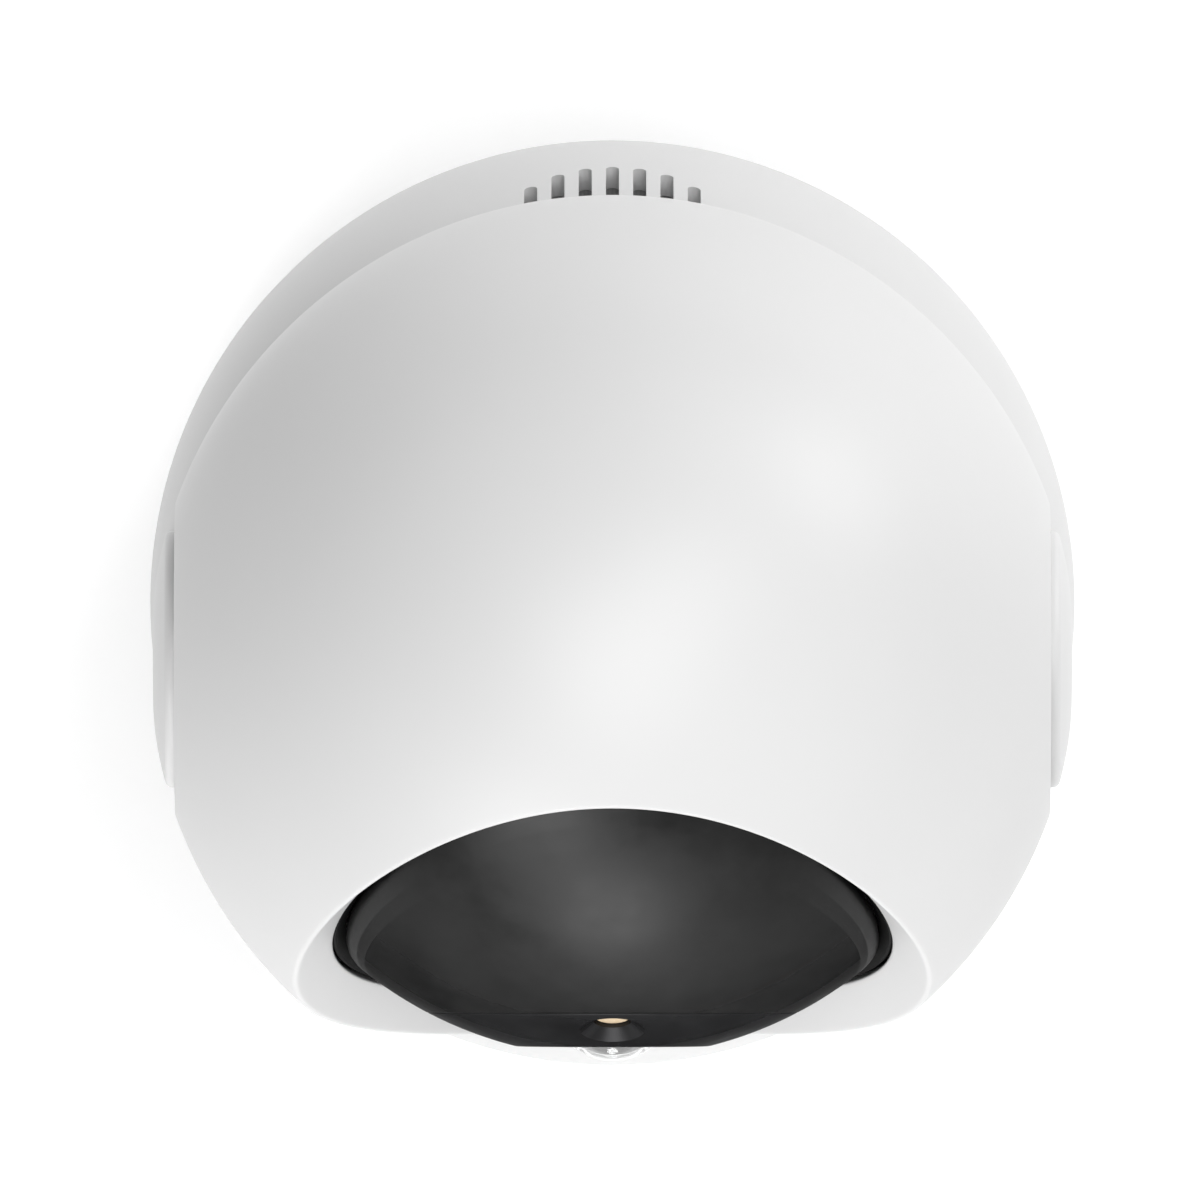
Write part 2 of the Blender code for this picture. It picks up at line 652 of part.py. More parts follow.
def head_ball(name, radius, flat_x):
    """A ball about the head's centre with its two flat sides."""
    solid = ball(name, radius, HEAD_CENTRE, segments=SKIN, rotation=(0, math.radians(90), 0))
    reach = 60 * MM
    return keep(solid, box("slab", (-flat_x, -reach, -reach), (flat_x, reach, reach), location=HEAD_CENTRE))


def card_place(x, distance):
    return HEAD_CENTRE + Vector((x, 0, 0)) + direction(CARD_RISE) * distance


def make_head_shell(carrier):
    solid = head_ball("head_shell", HEAD_RADIUS, HEAD_FLAT_X)
    hollow = ball("hollow", HEAD_RADIUS - HEAD_WALL, HEAD_CENTRE, rotation=(0, math.radians(90), 0))
    reach = 60 * MM
    inner_flat = HEAD_FLAT_X - HEAD_WALL
    keep(hollow, box("slab", (-inner_flat, -reach, -reach), (inner_flat, reach, reach), location=HEAD_CENTRE))
    cut(hollow, opening_cone("lip", LIP_SCALE))
    cut(solid, hollow)
    cut(solid, opening_cone("opening", 1.0))
    cut(solid, ball("throat", LIP_RADIUS, HEAD_CENTRE, rotation=aim(OPENING_RISE)))
    cut(solid, round_cone("rear", REAR_COVER_SPREAD + math.radians(0.4), (REAR_COVER_ANGLE, 0, 0)))
    cut(solid, cylinder("bush_holes", 5.5 * MM, -50 * MM, 50 * MM, HEAD_CENTRE, ALONG_X))
    cut(solid, cylinder("button_hole", 1.45 * MM, -6 * MM, 4 * MM, card_place(BUTTON_X, 41 * MM),
                        aim(CARD_RISE), segments=12))
    cut(solid, box("card_slot", (-6.0 * MM, -0.8 * MM, -6 * MM), (6.0 * MM, 0.8 * MM, 4 * MM),
                   aim(CARD_RISE), card_place(CARD_X, 41 * MM)))
    finish(solid, "white_plastic", carrier)


COVER_SCREW_X = 8 * MM
COVER_SCREW_HEAD = 42.0 * MM         # how far the screws' heads are from the head's centre


def cover_screw_place(side, distance):
    turn = Euler((REAR_COVER_ANGLE, 0, 0)).to_matrix()
    return HEAD_CENTRE + turn @ Vector((side * COVER_SCREW_X, 0, distance))


def make_rear_cover(carrier):
    """The cap that closes the head behind and below."""
    solid = ball("head_rear_cover", HEAD_RADIUS, HEAD_CENTRE, segments=SKIN, rotation=(0, math.radians(90), 0))
    keep(solid, round_cone("spread", REAR_COVER_SPREAD, (REAR_COVER_ANGLE, 0, 0)))
    cut(solid, ball("inside", HEAD_RADIUS - HEAD_WALL, HEAD_CENTRE, rotation=(0, math.radians(90), 0)))
    for side in (-1, 1):
        inward = (REAR_COVER_ANGLE + math.pi, 0, 0)
        cut(solid, screw_hole(1.5 * MM, 2.1 * MM, 0.9 * MM, cover_screw_place(side, COVER_SCREW_HEAD), inward))
    finish(solid, "white_plastic", carrier)


def make_cover_screws(carrier):
    for number, side in enumerate((-1, 1), 1):
        inward = (REAR_COVER_ANGLE + math.pi, 0, 0)
        solid = screw_solid(f"cover_screw_{number}", 1.8 * MM, 0.7 * MM, 1.15 * MM, 6.0 * MM,
                            cover_screw_place(side, COVER_SCREW_HEAD), inward)
        finish(solid, "steel", carrier)


def make_bezel_ring(carrier):
    solid = ball("bezel_ring", LIP_RADIUS - GAP, HEAD_CENTRE, rotation=aim(OPENING_RISE))
    keep(solid, opening_cone("outside", BEZEL_SCALE[1]))
    cut(solid, ball("inside", 36.2 * MM, HEAD_CENTRE, rotation=aim(OPENING_RISE)))
    cut(solid, opening_cone("hole", BEZEL_SCALE[0]))
    finish(solid, "black_matt", carrier)


def make_face_cover(carrier):
    solid = ball("face_cover", FACE_RADIUS, HEAD_CENTRE, segments=SKIN, rotation=aim(0.0))
    keep(solid, opening_cone("edge", FACE_SCALE))
    cut(solid, ball("inside", FACE_RADIUS - FACE_WALL, HEAD_CENTRE, rotation=aim(0.0)))
    cut(solid, round_cone("window", WINDOW_SPREAD + math.radians(0.45), aim(0.0)))
    finish(solid, "black_gloss", carrier)


def make_lens_window(carrier):
    """The dark round window: a dome with a flat facet round the lens, and a countersunk sensor hole."""
    inner = FACE_RADIUS - FACE_WALL
    facet_edge = math.acos(FACET_DISTANCE / FACE_RADIUS)
    quarter = math.radians(90)
    outside = arc(FACE_RADIUS, quarter - facet_edge, quarter - WINDOW_SPREAD, 4)
    hole_angle = math.asin(LENS_HOLE_RADIUS / inner)
    inside = arc(inner, quarter - WINDOW_SPREAD, quarter - hole_angle, 4)
    profile = [(LENS_HOLE_RADIUS, FACET_DISTANCE)] + outside + inside
    solid = turned("lens_window", profile, HEAD_CENTRE, aim(0.0), steps=36)
    sink_top = FACE_RADIUS + 0.4 * MM
    cut(solid, cylinder("countersink", 1.55 * MM, 36.2 * MM, sink_top, HEAD_CENTRE, aim(SENSOR_RISE),
                        top=3.6 * MM))
    cut(solid, cylinder("sensor_hole", SENSOR_RADIUS + GAP, 33 * MM, 36.5 * MM, HEAD_CENTRE, aim(SENSOR_RISE)))
    finish(solid, "black_gloss", carrier)


def make_light_sensor(carrier):
    solid = cylinder("light_sensor", SENSOR_RADIUS, 34.2 * MM, 35.9 * MM, HEAD_CENTRE, aim(SENSOR_RISE))
    finish(solid, "gold_cell", carrier)


def make_lens_glass(carrier):
    """The outer lens: a shallow dome standing out of the facet."""
    ball_radius = (LENS_RADIUS ** 2 + LENS_RISE ** 2) / (2 * LENS_RISE)
    centre = FACET_DISTANCE + LENS_RISE - ball_radius
    spread = math.asin(LENS_RADIUS / ball_radius)
    quarter = math.radians(90)
    dome = [(r, centre + z) for r, z in arc(ball_radius, quarter, quarter - spread, 5)]
    dome[0] = (0.0, FACET_DISTANCE + LENS_RISE)
    rim = LENS_RADIUS - 0.2 * MM
    profile = dome + [(rim, FACET_DISTANCE - 0.1 * MM), (rim, 33.5 * MM), (0.0, 33.5 * MM)]
    finish(turned("lens_glass", profile, HEAD_CENTRE, aim(0.0), steps=FINE), "clear_glass", carrier)


def make_lens_barrel(carrier):
    profile = [(3.2 * MM, 33.2 * MM), (5.6 * MM, 33.2 * MM), (6.5 * MM, 32.3 * MM), (6.5 * MM, 26 * MM),
               (5.4 * MM, 26 * MM), (5.4 * MM, 22 * MM), (2.4 * MM, 22 * MM), (2.4 * MM, 31 * MM),
               (3.2 * MM, 32 * MM)]
    finish(turned("lens_barrel", profile, HEAD_CENTRE, aim(0.0), steps=FINE), "black_matt", carrier)


def make_lens_holder(carrier):
    half = 7 * MM
    solid = box("lens_holder", (-half, -half, 15 * MM), (half, half, 21.7 * MM), aim(0.0), HEAD_CENTRE)
    cut(solid, cylinder("light_way", 4 * MM, 10 * MM, 30 * MM, HEAD_CENTRE, aim(0.0)))
    finish(solid, "black_matt", carrier, flat=True)


def make_sensor_board(carrier):
    half = 12 * MM
    solid = box("sensor_board", (-half, -half, 13.5 * MM), (half, half, 14.7 * MM), aim(0.0), HEAD_CENTRE)
    finish(solid, "circuit_board", carrier, flat=True)


IR_LED_COUNT = 6
IR_LED_CIRCLE = 11 * MM


def make_ir_board(carrier):
    profile = [(7 * MM, 30.8 * MM), (14.3 * MM, 30.8 * MM), (14.3 * MM, 29.6 * MM), (7 * MM, 29.6 * MM)]
    finish(turned("ir_board", profile, HEAD_CENTRE, aim(0.0), steps=SEGMENTS), "circuit_board", carrier)


def make_ir_leds(carrier):
    """Infrared lamps behind the dark window, round the lens, none of them under the light sensor."""
    turn = Euler(aim(0.0)).to_matrix()
    for number, (x, y) in enumerate(around(IR_LED_COUNT, IR_LED_CIRCLE), 1):
        profile = [(0.0, 1.3 * MM), (0.7 * MM, 1.15 * MM), (1.2 * MM, 0.7 * MM), (1.5 * MM, 0.5 * MM),
                   (1.5 * MM, 0.0), (0.0, 0.0)]
        place = HEAD_CENTRE + turn @ Vector((x, y, 31.1 * MM))
        finish(turned(f"ir_led_{number}", profile, place, aim(0.0), steps=12), "clear_glass", carrier)


CHASSIS_BACK = 11.4 * MM
CHASSIS_FRONT = 13.2 * MM
SHELF_Z = (-3.0 * MM, -1.4 * MM)


def make_head_chassis(carrier):
    """An upright plate that carries the camera module, with a shelf behind it for the board and the motor."""
    wide, narrow = 37.2 * MM, 30.3 * MM
    drop = math.asin(8 * MM / wide)
    outline = arc(narrow, -math.asin(8 * MM / narrow), math.pi + math.asin(8 * MM / narrow), 24)
    outline += arc(wide, math.pi + drop, 2 * math.pi - drop, 18)
    solid = plate("head_chassis", outline, CHASSIS_FRONT - CHASSIS_BACK,
                  HEAD_CENTRE + Vector((0, -CHASSIS_BACK, 0)), aim(0.0))
    shelf = box("shelf", (-30 * MM, -CHASSIS_BACK - 0.5 * MM, SHELF_Z[0]), (24 * MM, 22 * MM, SHELF_Z[1]),
                location=HEAD_CENTRE)
    finish(join(solid, shelf), "black_matt", carrier, flat=True)


def make_head_board(carrier):
    solid = box("head_board", (-23 * MM, 13 * MM, SHELF_Z[1] + GAP), (23 * MM, 14.4 * MM, 28 * MM),
                location=HEAD_CENTRE)
    finish(solid, "circuit_board", carrier, flat=True)


def make_microphone(carrier):
    place = HEAD_CENTRE + Vector((14 * MM, 12.7 * MM, 10 * MM))
    finish(cylinder("microphone", 2 * MM, 0.0, 1.6 * MM, place, aim(0.0), 16), "steel", carrier)


def make_wifi_antenna(carrier):
    solid = box("wifi_antenna", (-14 * MM, 14.7 * MM, 20 * MM), (14 * MM, 15.5 * MM, 26 * MM), location=HEAD_CENTRE)
    finish(solid, "circuit_board", carrier, flat=True)


def tilt_motor_place(x):
    distance = (TILT_GEAR_TEETH + TILT_PINION_TEETH) * TILT_MODULE / 2
    y, z = point(TILT_MOTOR_ANGLE, distance)
    return HEAD_CENTRE + Vector((x, y, z))


def make_tilt_motor(carrier):
    """The tilt motor, nose towards the left arm, under the shelf."""
    nose_left = (math.radians(90), 0, math.radians(-90))
    solid = motor("tilt_motor", 8.0 * MM, 12 * MM, tilt_motor_place(-18.9 * MM), nose_left, 10 * MM)
    finish(solid, "steel", carrier)


def make_tilt_pinion(carrier):
    facing = TILT_MOTOR_ANGLE + math.pi
    outline = gear_outline(TILT_PINION_TEETH, TILT_MODULE, facing + math.pi / TILT_PINION_TEETH)
    solid = plate("tilt_pinion", outline, TILT_GEAR_FACE, tilt_motor_place(TILT_GEAR_X), ALONG_X)
    finish(solid, "bearing_plastic", carrier, flat=True)


def make_tilt_bushes(carrier):
    """Plain bearings in the head's flat sides."""
    for name, side in (("tilt_bush_left", -1), ("tilt_bush_right", 1)):
        outer_x = HEAD_FLAT_X - 0.1 * MM
        start, end = sorted((side * outer_x, side * (outer_x - 3.2 * MM)))
        solid = cylinder(name, 5.2 * MM, start, end, HEAD_CENTRE, ALONG_X)
        cut(solid, cylinder("bore", AXLE_RADIUS + 0.2 * MM, -50 * MM, 50 * MM, HEAD_CENTRE, ALONG_X))
        finish(solid, "bearing_plastic", carrier)


def make_sd_socket(carrier):
    """The memory card's holder, behind its slot in the head."""
    solid = box("sd_socket", (-6.8 * MM, -1.3 * MM, 0.0), (6.8 * MM, 1.3 * MM, 10.8 * MM),
                aim(CARD_RISE), card_place(CARD_X, 28.5 * MM))
    cut(solid, box("mouth", (-5.8 * MM, -0.7 * MM, 0.8 * MM), (5.8 * MM, 0.7 * MM, 12 * MM),
                   aim(CARD_RISE), card_place(CARD_X, 28.5 * MM)))
    finish(solid, "steel", carrier, flat=True)


def make_reset_button(carrier):
    """A small button that is pressed straight in. A collar keeps it inside the shell."""
    stem, collar = 1.1 * MM, 1.9 * MM
    profile = [(0.0, 42.1 * MM), (stem - 0.2 * MM, 42.1 * MM), (stem, 41.9 * MM), (stem, 39.5 * MM),
               (collar, 39.5 * MM), (collar, 38.8 * MM), (0.0, 38.8 * MM)]
    rest = 42.1 * MM
    profile = [(radius, height - rest) for radius, height in profile]
    finish(turned("reset_button", profile, card_place(BUTTON_X, rest), aim(CARD_RISE), steps=12),
           "black_matt", carrier)


# ---------------------------------------------------------------- the camera

BASE_PIECES = (make_foot_ring, make_base_plate, make_base_housing, make_base_screws, make_power_board,
               make_power_inlet, make_pan_shaft, make_pan_gear, make_gear_clip)
BODY_PIECES = (make_body_shell, make_body_floor, make_pan_washer, make_floor_screws, make_cradle_bowl,
               make_main_board, make_speaker, make_pan_motor, make_pan_pinion, make_tilt_axles, make_tilt_gear)
HEAD_PIECES = (make_head_shell, make_rear_cover, make_cover_screws, make_bezel_ring, make_face_cover,
               make_lens_window, make_light_sensor, make_lens_glass, make_lens_barrel, make_lens_holder,
               make_sensor_board, make_ir_board, make_ir_leds, make_head_chassis, make_head_board,
               make_microphone, make_wifi_antenna, make_tilt_motor, make_tilt_pinion, make_tilt_bushes,
               make_sd_socket, make_reset_button)

clear_scene()
PIECES = new_collection("security_camera")
CUTTERS = new_collection("cutters", hidden=True)
make_materials()
base_origin = add_axis("base_origin", (0, 0, 0))
pan_axis = add_axis("pan_axis", (0, 0, 0), base_origin)
tilt_axis = add_axis("tilt_axis", HEAD_CENTRE, pan_axis)
for make_pieces, moved_by in ((BASE_PIECES, base_origin), (BODY_PIECES, pan_axis), (HEAD_PIECES, tilt_axis)):
    for make_piece in make_pieces:
        make_piece(moved_by)
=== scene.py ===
"""Looks of the desk security camera: smooth skins, moulded plastics, a studio and the camera above."""
import json
import math

import bmesh
import bpy
from mathutils import Euler, Matrix, Vector


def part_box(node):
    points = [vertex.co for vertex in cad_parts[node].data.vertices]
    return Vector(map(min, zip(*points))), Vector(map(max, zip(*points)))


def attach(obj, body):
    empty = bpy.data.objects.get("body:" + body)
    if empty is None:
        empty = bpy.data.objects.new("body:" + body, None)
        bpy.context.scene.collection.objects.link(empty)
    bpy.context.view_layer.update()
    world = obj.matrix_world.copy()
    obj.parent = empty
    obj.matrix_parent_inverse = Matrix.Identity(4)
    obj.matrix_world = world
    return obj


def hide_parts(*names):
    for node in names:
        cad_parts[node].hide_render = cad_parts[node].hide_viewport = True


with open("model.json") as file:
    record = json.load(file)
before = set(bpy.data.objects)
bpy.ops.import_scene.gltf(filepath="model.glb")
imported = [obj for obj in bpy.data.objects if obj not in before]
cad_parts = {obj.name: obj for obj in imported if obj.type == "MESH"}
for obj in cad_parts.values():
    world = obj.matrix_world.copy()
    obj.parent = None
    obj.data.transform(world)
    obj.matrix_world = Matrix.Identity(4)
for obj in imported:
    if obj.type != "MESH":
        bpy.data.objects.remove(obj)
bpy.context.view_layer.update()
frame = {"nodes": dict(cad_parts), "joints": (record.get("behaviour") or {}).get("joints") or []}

MM = 0.001
joints = {joint["name"]: joint for joint in frame["joints"]}

# Sizes that the frame gives.
HEAD = Vector(joints["tilt"]["pos_m"])                       # the middle of the ball head
HEAD_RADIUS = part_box("head_shell")[1][2] - HEAD.z
HEAD_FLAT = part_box("head_shell")[1][0]                       # half the width across the flat sides
BODY_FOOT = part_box("body_shell")[0][2]
BASE_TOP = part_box("base_housing")[1][2]
BASE_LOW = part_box("base_housing")[0][2]

# The arms on either side of the head.
ARM_OUT = 43.06 * MM
ARM_IN = HEAD_FLAT + 0.02 * MM
ARM_HALF = 12.0 * MM                                         # half the width, and the radius of the top
ARM_LOW = 16.0 * MM

# The opening in the head: an oval cone about an axis that is raised from the lens axis.
RISE = math.radians(18.0)
OPEN_WIDE = math.tan(math.radians(43.0))
OPEN_HIGH = math.tan(math.radians(53.3))
LIP_INNER = 38.2 * MM                                        # how near the head's centre the lip starts
LIP_THICK = 1.4 * MM
WALL = 2.2 * MM

# The face in the opening, with its round window, the facet round the lens and the light sensor.
FACE_RADIUS = 37.3 * MM
FACE_EDGE = 0.998                                            # the face's edge, as a scale of the cone
WINDOW = math.radians(27.55)
FACET = 36.2 * MM
LENS_RADIUS = 3.83 * MM
LENS_RISE = 1.36 * MM
LENS_HOLE = 3.95 * MM
SENSOR_RISE = math.radians(21.6)

# The card slot, the reset button's hole and the rear cover.
CARD_RISE = math.radians(-56)
CARD_X = -3.0 * MM
CARD_HALF = (5.3 * MM, 0.75 * MM)                            # half the straight length, half the height
BUTTON_X = 9.0 * MM
BUTTON_HOLE = 1.45 * MM
REAR_TURN = math.radians(210)                                # turns +Z backwards and down
REAR_SPREAD = math.radians(40)
COVER_SCREW_X = 8 * MM

# The body: a hollow ball whose rim lies on the head's clearance ball.
BODY = Vector((0.0, 0.0, 34.3 * MM))
BODY_RADIUS = 43.6 * MM
CUP_RADIUS = 44.0 * MM
SLOT_COUNT = 7
SLOT_PITCH = 2.56 * MM
SLOT_WIDTH = 1.23 * MM
GRILLE_RADIUS = 10.3 * MM
GRILLE_ANGLE = math.radians(56.4)
SLOT_TOP = math.radians(59.3)

HALF_TURN = math.pi
QUARTER = math.pi / 2
SAME_PLACE = 1e-7                                            # points nearer than this are one point
SHARP = math.radians(38)                                     # edges that turn further stay sharp


# ---------------------------------------------------------------- making meshes

def aim(rise):
    """The turn that points +Z along the lens axis, raised by an angle."""
    return Euler((QUARTER - rise, 0.0, 0.0)).to_matrix()


def steps(start, end, count):
    """Evenly spaced values from start to end, with both ends."""
    return [start + (end - start) * i / count for i in range(count + 1)]


def corner(before, tip, after, count=5):
    """A rounded corner: a curve from one point to another, drawn towards the tip."""
    curve = []
    for share in steps(0.0, 1.0, count):
        one, two, three = (1 - share) ** 2, 2 * share * (1 - share), share ** 2
        curve.append(tuple(one * a + two * b + three * c for a, b, c in zip(before, tip, after)))
    return curve


def polar(angle, radius):
    """A profile point (distance from the axis, height), by its angle from the axis."""
    return (radius * math.sin(angle), radius * math.cos(angle))


def grid_mesh(rows, around=True, ring=False):
    """A mesh through rows of points: around closes each row, and ring joins the last row to the first."""
    work = bmesh.new()
    lines = [[work.verts.new(place) for place in row] for row in rows]
    pairs = list(zip(lines, lines[1:]))
    if ring:
        pairs.append((lines[-1], lines[0]))
    for one, two in pairs:
        count = max(len(one), len(two))
        last = count if around else count - 1
        for i in range(last):
            j = (i + 1) % count
            if len(one) == 1:
                work.faces.new((one[0], two[i], two[j]))
            elif len(two) == 1:
                work.faces.new((one[i], two[0], one[j]))
            else:
                work.faces.new((one[i], two[i], two[j], one[j]))
    return work


def turned_rows(profile, columns, centre=(0, 0, 0), turn=Matrix.Identity(3)):
    """Rows of points for a profile of (radius, height) turned about its axis."""
    rows = []
    for radius, height in profile:
        count = 1 if radius < SAME_PLACE else columns
        ring = []
        for i in range(count):
            angle = 2 * math.pi * i / columns
            place = Vector((radius * math.cos(angle), radius * math.sin(angle), height))
            ring.append(Vector(centre) + turn @ place)
        rows.append(ring)
    return rows


def join_in(work, other):
    """Move another mesh's faces into this one."""
    mesh = bpy.data.meshes.new("joined")
    other.to_mesh(mesh)
    other.free()
    work.from_mesh(mesh)
    bpy.data.meshes.remove(mesh)


def slice_off(work, place, way):
    """Take away all that lies beyond a plane."""
    everything = list(work.verts) + list(work.edges) + list(work.faces)
    bmesh.ops.bisect_plane(work, geom=everything, plane_co=place, plane_no=way, clear_outer=True)


def close_ends(work):
    """Fill each open outline with one face."""
    bmesh.ops.contextual_create(work, geom=[edge for edge in work.edges if edge.is_boundary])


def new_piece(name, work, body, nodes, material, sharp=SHARP):
    """Make an object from a bmesh, facing outwards, which rides on a body and stands for CAD nodes."""
    bmesh.ops.remove_doubles(work, verts=work.verts, dist=SAME_PLACE)
    bmesh.ops.recalc_face_normals(work, faces=work.faces)
    mesh = bpy.data.meshes.new(name)
    work.to_mesh(mesh)
    work.free()
    mesh.shade_smooth()
    mesh.set_sharp_from_angle(angle=sharp)
    piece = bpy.data.objects.new(name, mesh)
    bpy.context.scene.collection.objects.link(piece)
    mesh.materials.append(material)
    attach(piece, body)
    if nodes:
        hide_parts(*nodes)
    return piece


def turned_piece(name, profile, body, nodes, material, centre=(0, 0, 0), turn=Matrix.Identity(3),
                 columns=160):
    """A turned piece. A profile that starts off the axis is a closed ring."""
    ring = profile[0][0] > SAME_PLACE
    rows = turned_rows(profile, columns, centre, turn)
    return new_piece(name, grid_mesh(rows, ring=ring), body, nodes, material)


def scratch_object(name, work):
    """A cutter, which cut() removes once it has cut."""
    bmesh.ops.recalc_face_normals(work, faces=work.faces)
    mesh = bpy.data.meshes.new(name)
    work.to_mesh(mesh)
    work.free()
    cutter = bpy.data.objects.new(name, mesh)
    bpy.context.scene.collection.objects.link(cutter)
    return cutter


def cut(piece, *cutters):
    """Cut solids out of a piece, and remove them."""
    for cutter in cutters:
        boolean = piece.modifiers.new("cut", 'BOOLEAN')
        boolean.operation = 'DIFFERENCE'
        boolean.solver = 'EXACT'
        boolean.material_mode = 'TRANSFER' if cutter.data.materials else 'INDEX'
        boolean.object = cutter
        bpy.context.view_layer.update()
        graph = bpy.context.evaluated_depsgraph_get()
        mesh = bpy.data.meshes.new_from_object(piece.evaluated_get(graph))
        piece.modifiers.clear()
        piece.data = mesh
        bpy.data.objects.remove(cutter, do_unlink=True)
    piece.data.shade_smooth()
    piece.data.set_sharp_from_angle(angle=SHARP)


def turned_cutter(profile, centre, turn, columns=64):
    """A cutter turned about its axis."""
    return scratch_object("cutter", grid_mesh(turned_rows(profile, columns, centre, turn)))


def hole_profile(radius, start, end):
    """The profile of a plain round hole from one height to another."""
    return [(0.0, start), (radius, start), (radius, end), (0.0, end)]


def loop_at(work, centre, axis, height, radius, tolerance=0.02 * MM):
    """The open edges that lie on one circle about an axis."""
    found = []
    for edge in work.edges:
        if edge.is_boundary:
            offsets = [vert.co - centre for vert in edge.verts]
            heights = [offset.dot(axis) for offset in offsets]
            radii = [(offset - axis * along).length for offset, along in zip(offsets, heights)]
            level = all(abs(along - height) < tolerance for along in heights)
            on_circle = all(abs(across - radius) < tolerance * 4 for across in radii)
            if level and on_circle:
                found.append(edge)
    return found


def collar(work, centre, axis, loop, profile):
    """Carry an open round edge on through the rings of a profile. Returns the last ring's edges."""
    for radius, height in profile:
        grown = bmesh.ops.extrude_edge_only(work, edges=loop)["geom"]
        for vert in [item for item in grown if isinstance(item, bmesh.types.BMVert)]:
            offset = vert.co - centre
            across = (offset - axis * offset.dot(axis)).normalized()
            vert.co = centre + axis * height + across * radius
        loop = [item for item in grown if isinstance(item, bmesh.types.BMEdge) and item.is_boundary]
    return loop


# ---------------------------------------------------------------- materials

def node_material(name):
    """A new material, its node tree, its shader and the object's own coordinates."""
    material = bpy.data.materials.new(name)
    material.use_nodes = True
    tree = material.node_tree
    shader = tree.nodes["Principled BSDF"]
    place = tree.nodes.new("ShaderNodeTexCoord")
    return material, tree, shader, place.outputs["Object"]


def noise(tree, place, size, detail=2.0, roughness=0.5):
    """Noise whose features are about this size in metres."""
    node = tree.nodes.new("ShaderNodeTexNoise")
    node.inputs["Scale"].default_value = 1.0 / size
    node.inputs["Detail"].default_value = detail
    node.inputs["Roughness"].default_value = roughness
    tree.links.new(place, node.inputs["Vector"])
    return node.outputs["Fac"]


def ranged(tree, value, low, high):
    """Carry a value that runs from 0.3 to 0.7 over to another range."""
    node = tree.nodes.new("ShaderNodeMapRange")
    node.inputs["From Min"].default_value = 0.3
    node.inputs["From Max"].default_value = 0.7
    node.inputs["To Min"].default_value = low
    node.inputs["To Max"].default_value = high
    tree.links.new(value, node.inputs["Value"])
    return node.outputs["Result"]


def mixed(tree, factor, one, two):
    """A colour between two, by a factor."""
    node = tree.nodes.new("ShaderNodeMix")
    node.data_type = 'RGBA'
    node.inputs["A"].default_value = (*one, 1.0)
    node.inputs["B"].default_value = (*two, 1.0)
    tree.links.new(factor, node.inputs["Factor"])
    return node.outputs["Result"]


def bumped(tree, shader, height, distance, strength=1.0):
    """Small relief on the shader's surface, by a height."""
    node = tree.nodes.new("ShaderNodeBump")
    node.inputs["Distance"].default_value = distance
    node.inputs["Strength"].default_value = strength
    tree.links.new(height, node.inputs["Height"])
    tree.links.new(node.outputs["Normal"], shader.inputs["Normal"])


def plastic(name, colour, shade, roughness, grain, depth, specular=0.5):
    """Moulded plastic: slow shade changes, a fine moulded grain, and roughness that follows the grain."""
    material, tree, shader, place = node_material(name)
    slow = ranged(tree, noise(tree, place, 22 * MM, 3.0), 0.0, 1.0)
    darker = tuple(channel * shade for channel in colour)
    tree.links.new(mixed(tree, slow, darker, colour), shader.inputs["Base Color"])
    fine = noise(tree, place, grain, 3.0, 0.6)
    tree.links.new(ranged(tree, fine, roughness * 0.93, roughness * 1.07), shader.inputs["Roughness"])
    bumped(tree, shader, fine, depth, 0.35)
    shader.inputs["Specular IOR Level"].default_value = specular
    return material


def gloss_black(name, colour, roughness, grazing=0.25):
    """Polished dark plastic with faint wiping marks, and with little reflection at a grazing angle."""
    material, tree, shader, place = node_material(name)
    smear = noise(tree, place, 9 * MM, 4.0, 0.65)
    tree.links.new(ranged(tree, smear, roughness * 0.8, roughness * 1.25), shader.inputs["Roughness"])
    lighter = tuple(channel * 1.25 for channel in colour)
    tree.links.new(mixed(tree, ranged(tree, smear, 0.0, 1.0), colour, lighter), shader.inputs["Base Color"])
    bumped(tree, shader, noise(tree, place, 0.12 * MM, 2.0), 0.0008 * MM, 0.2)
    shader.inputs["Metallic"].default_value = 0.7
    shader.inputs["Specular IOR Level"].default_value = 0.0
    shader.inputs["Specular Tint"].default_value = (grazing, grazing, grazing, 1.0)
    return material


def metal(name, colour, roughness, grain=0.25 * MM):
    """Plated metal whose fine grain shows in its colour and its shine."""
    material, tree, shader, place = node_material(name)
    brushed = noise(tree, place, grain, 4.0, 0.7)
    darker = tuple(channel * 0.85 for channel in colour)
    tree.links.new(mixed(tree, brushed, darker, colour), shader.inputs["Base Color"])
    tree.links.new(ranged(tree, brushed, roughness * 0.8, roughness * 1.3), shader.inputs["Roughness"])
    bumped(tree, shader, brushed, 0.002 * MM, 0.4)
    shader.inputs["Metallic"].default_value = 1.0
    return material


def woven(name, colour):
    """Fine cloth: threads crossing both ways."""
    material, tree, shader, place = node_material(name)
    heights = []
    for direction in ('X', 'Z'):
        thread = tree.nodes.new("ShaderNodeTexWave")
        thread.bands_direction = direction
        thread.inputs["Scale"].default_value = 1 / (1.2 * MM)
        thread.inputs["Distortion"].default_value = 0.4
        tree.links.new(place, thread.inputs["Vector"])
        heights.append(thread.outputs["Fac"])
    weave = tree.nodes.new("ShaderNodeMath")
    weave.operation = 'MULTIPLY'
    tree.links.new(heights[0], weave.inputs[0])
    tree.links.new(heights[1], weave.inputs[1])
    darker = tuple(channel * 0.7 for channel in colour)
    tree.links.new(mixed(tree, weave.outputs["Value"], darker, colour), shader.inputs["Base Color"])
    tree.links.new(ranged(tree, weave.outputs["Value"], 0.8, 0.95), shader.inputs["Roughness"])
    bumped(tree, shader, weave.outputs["Value"], 0.03 * MM, 0.6)
    return material


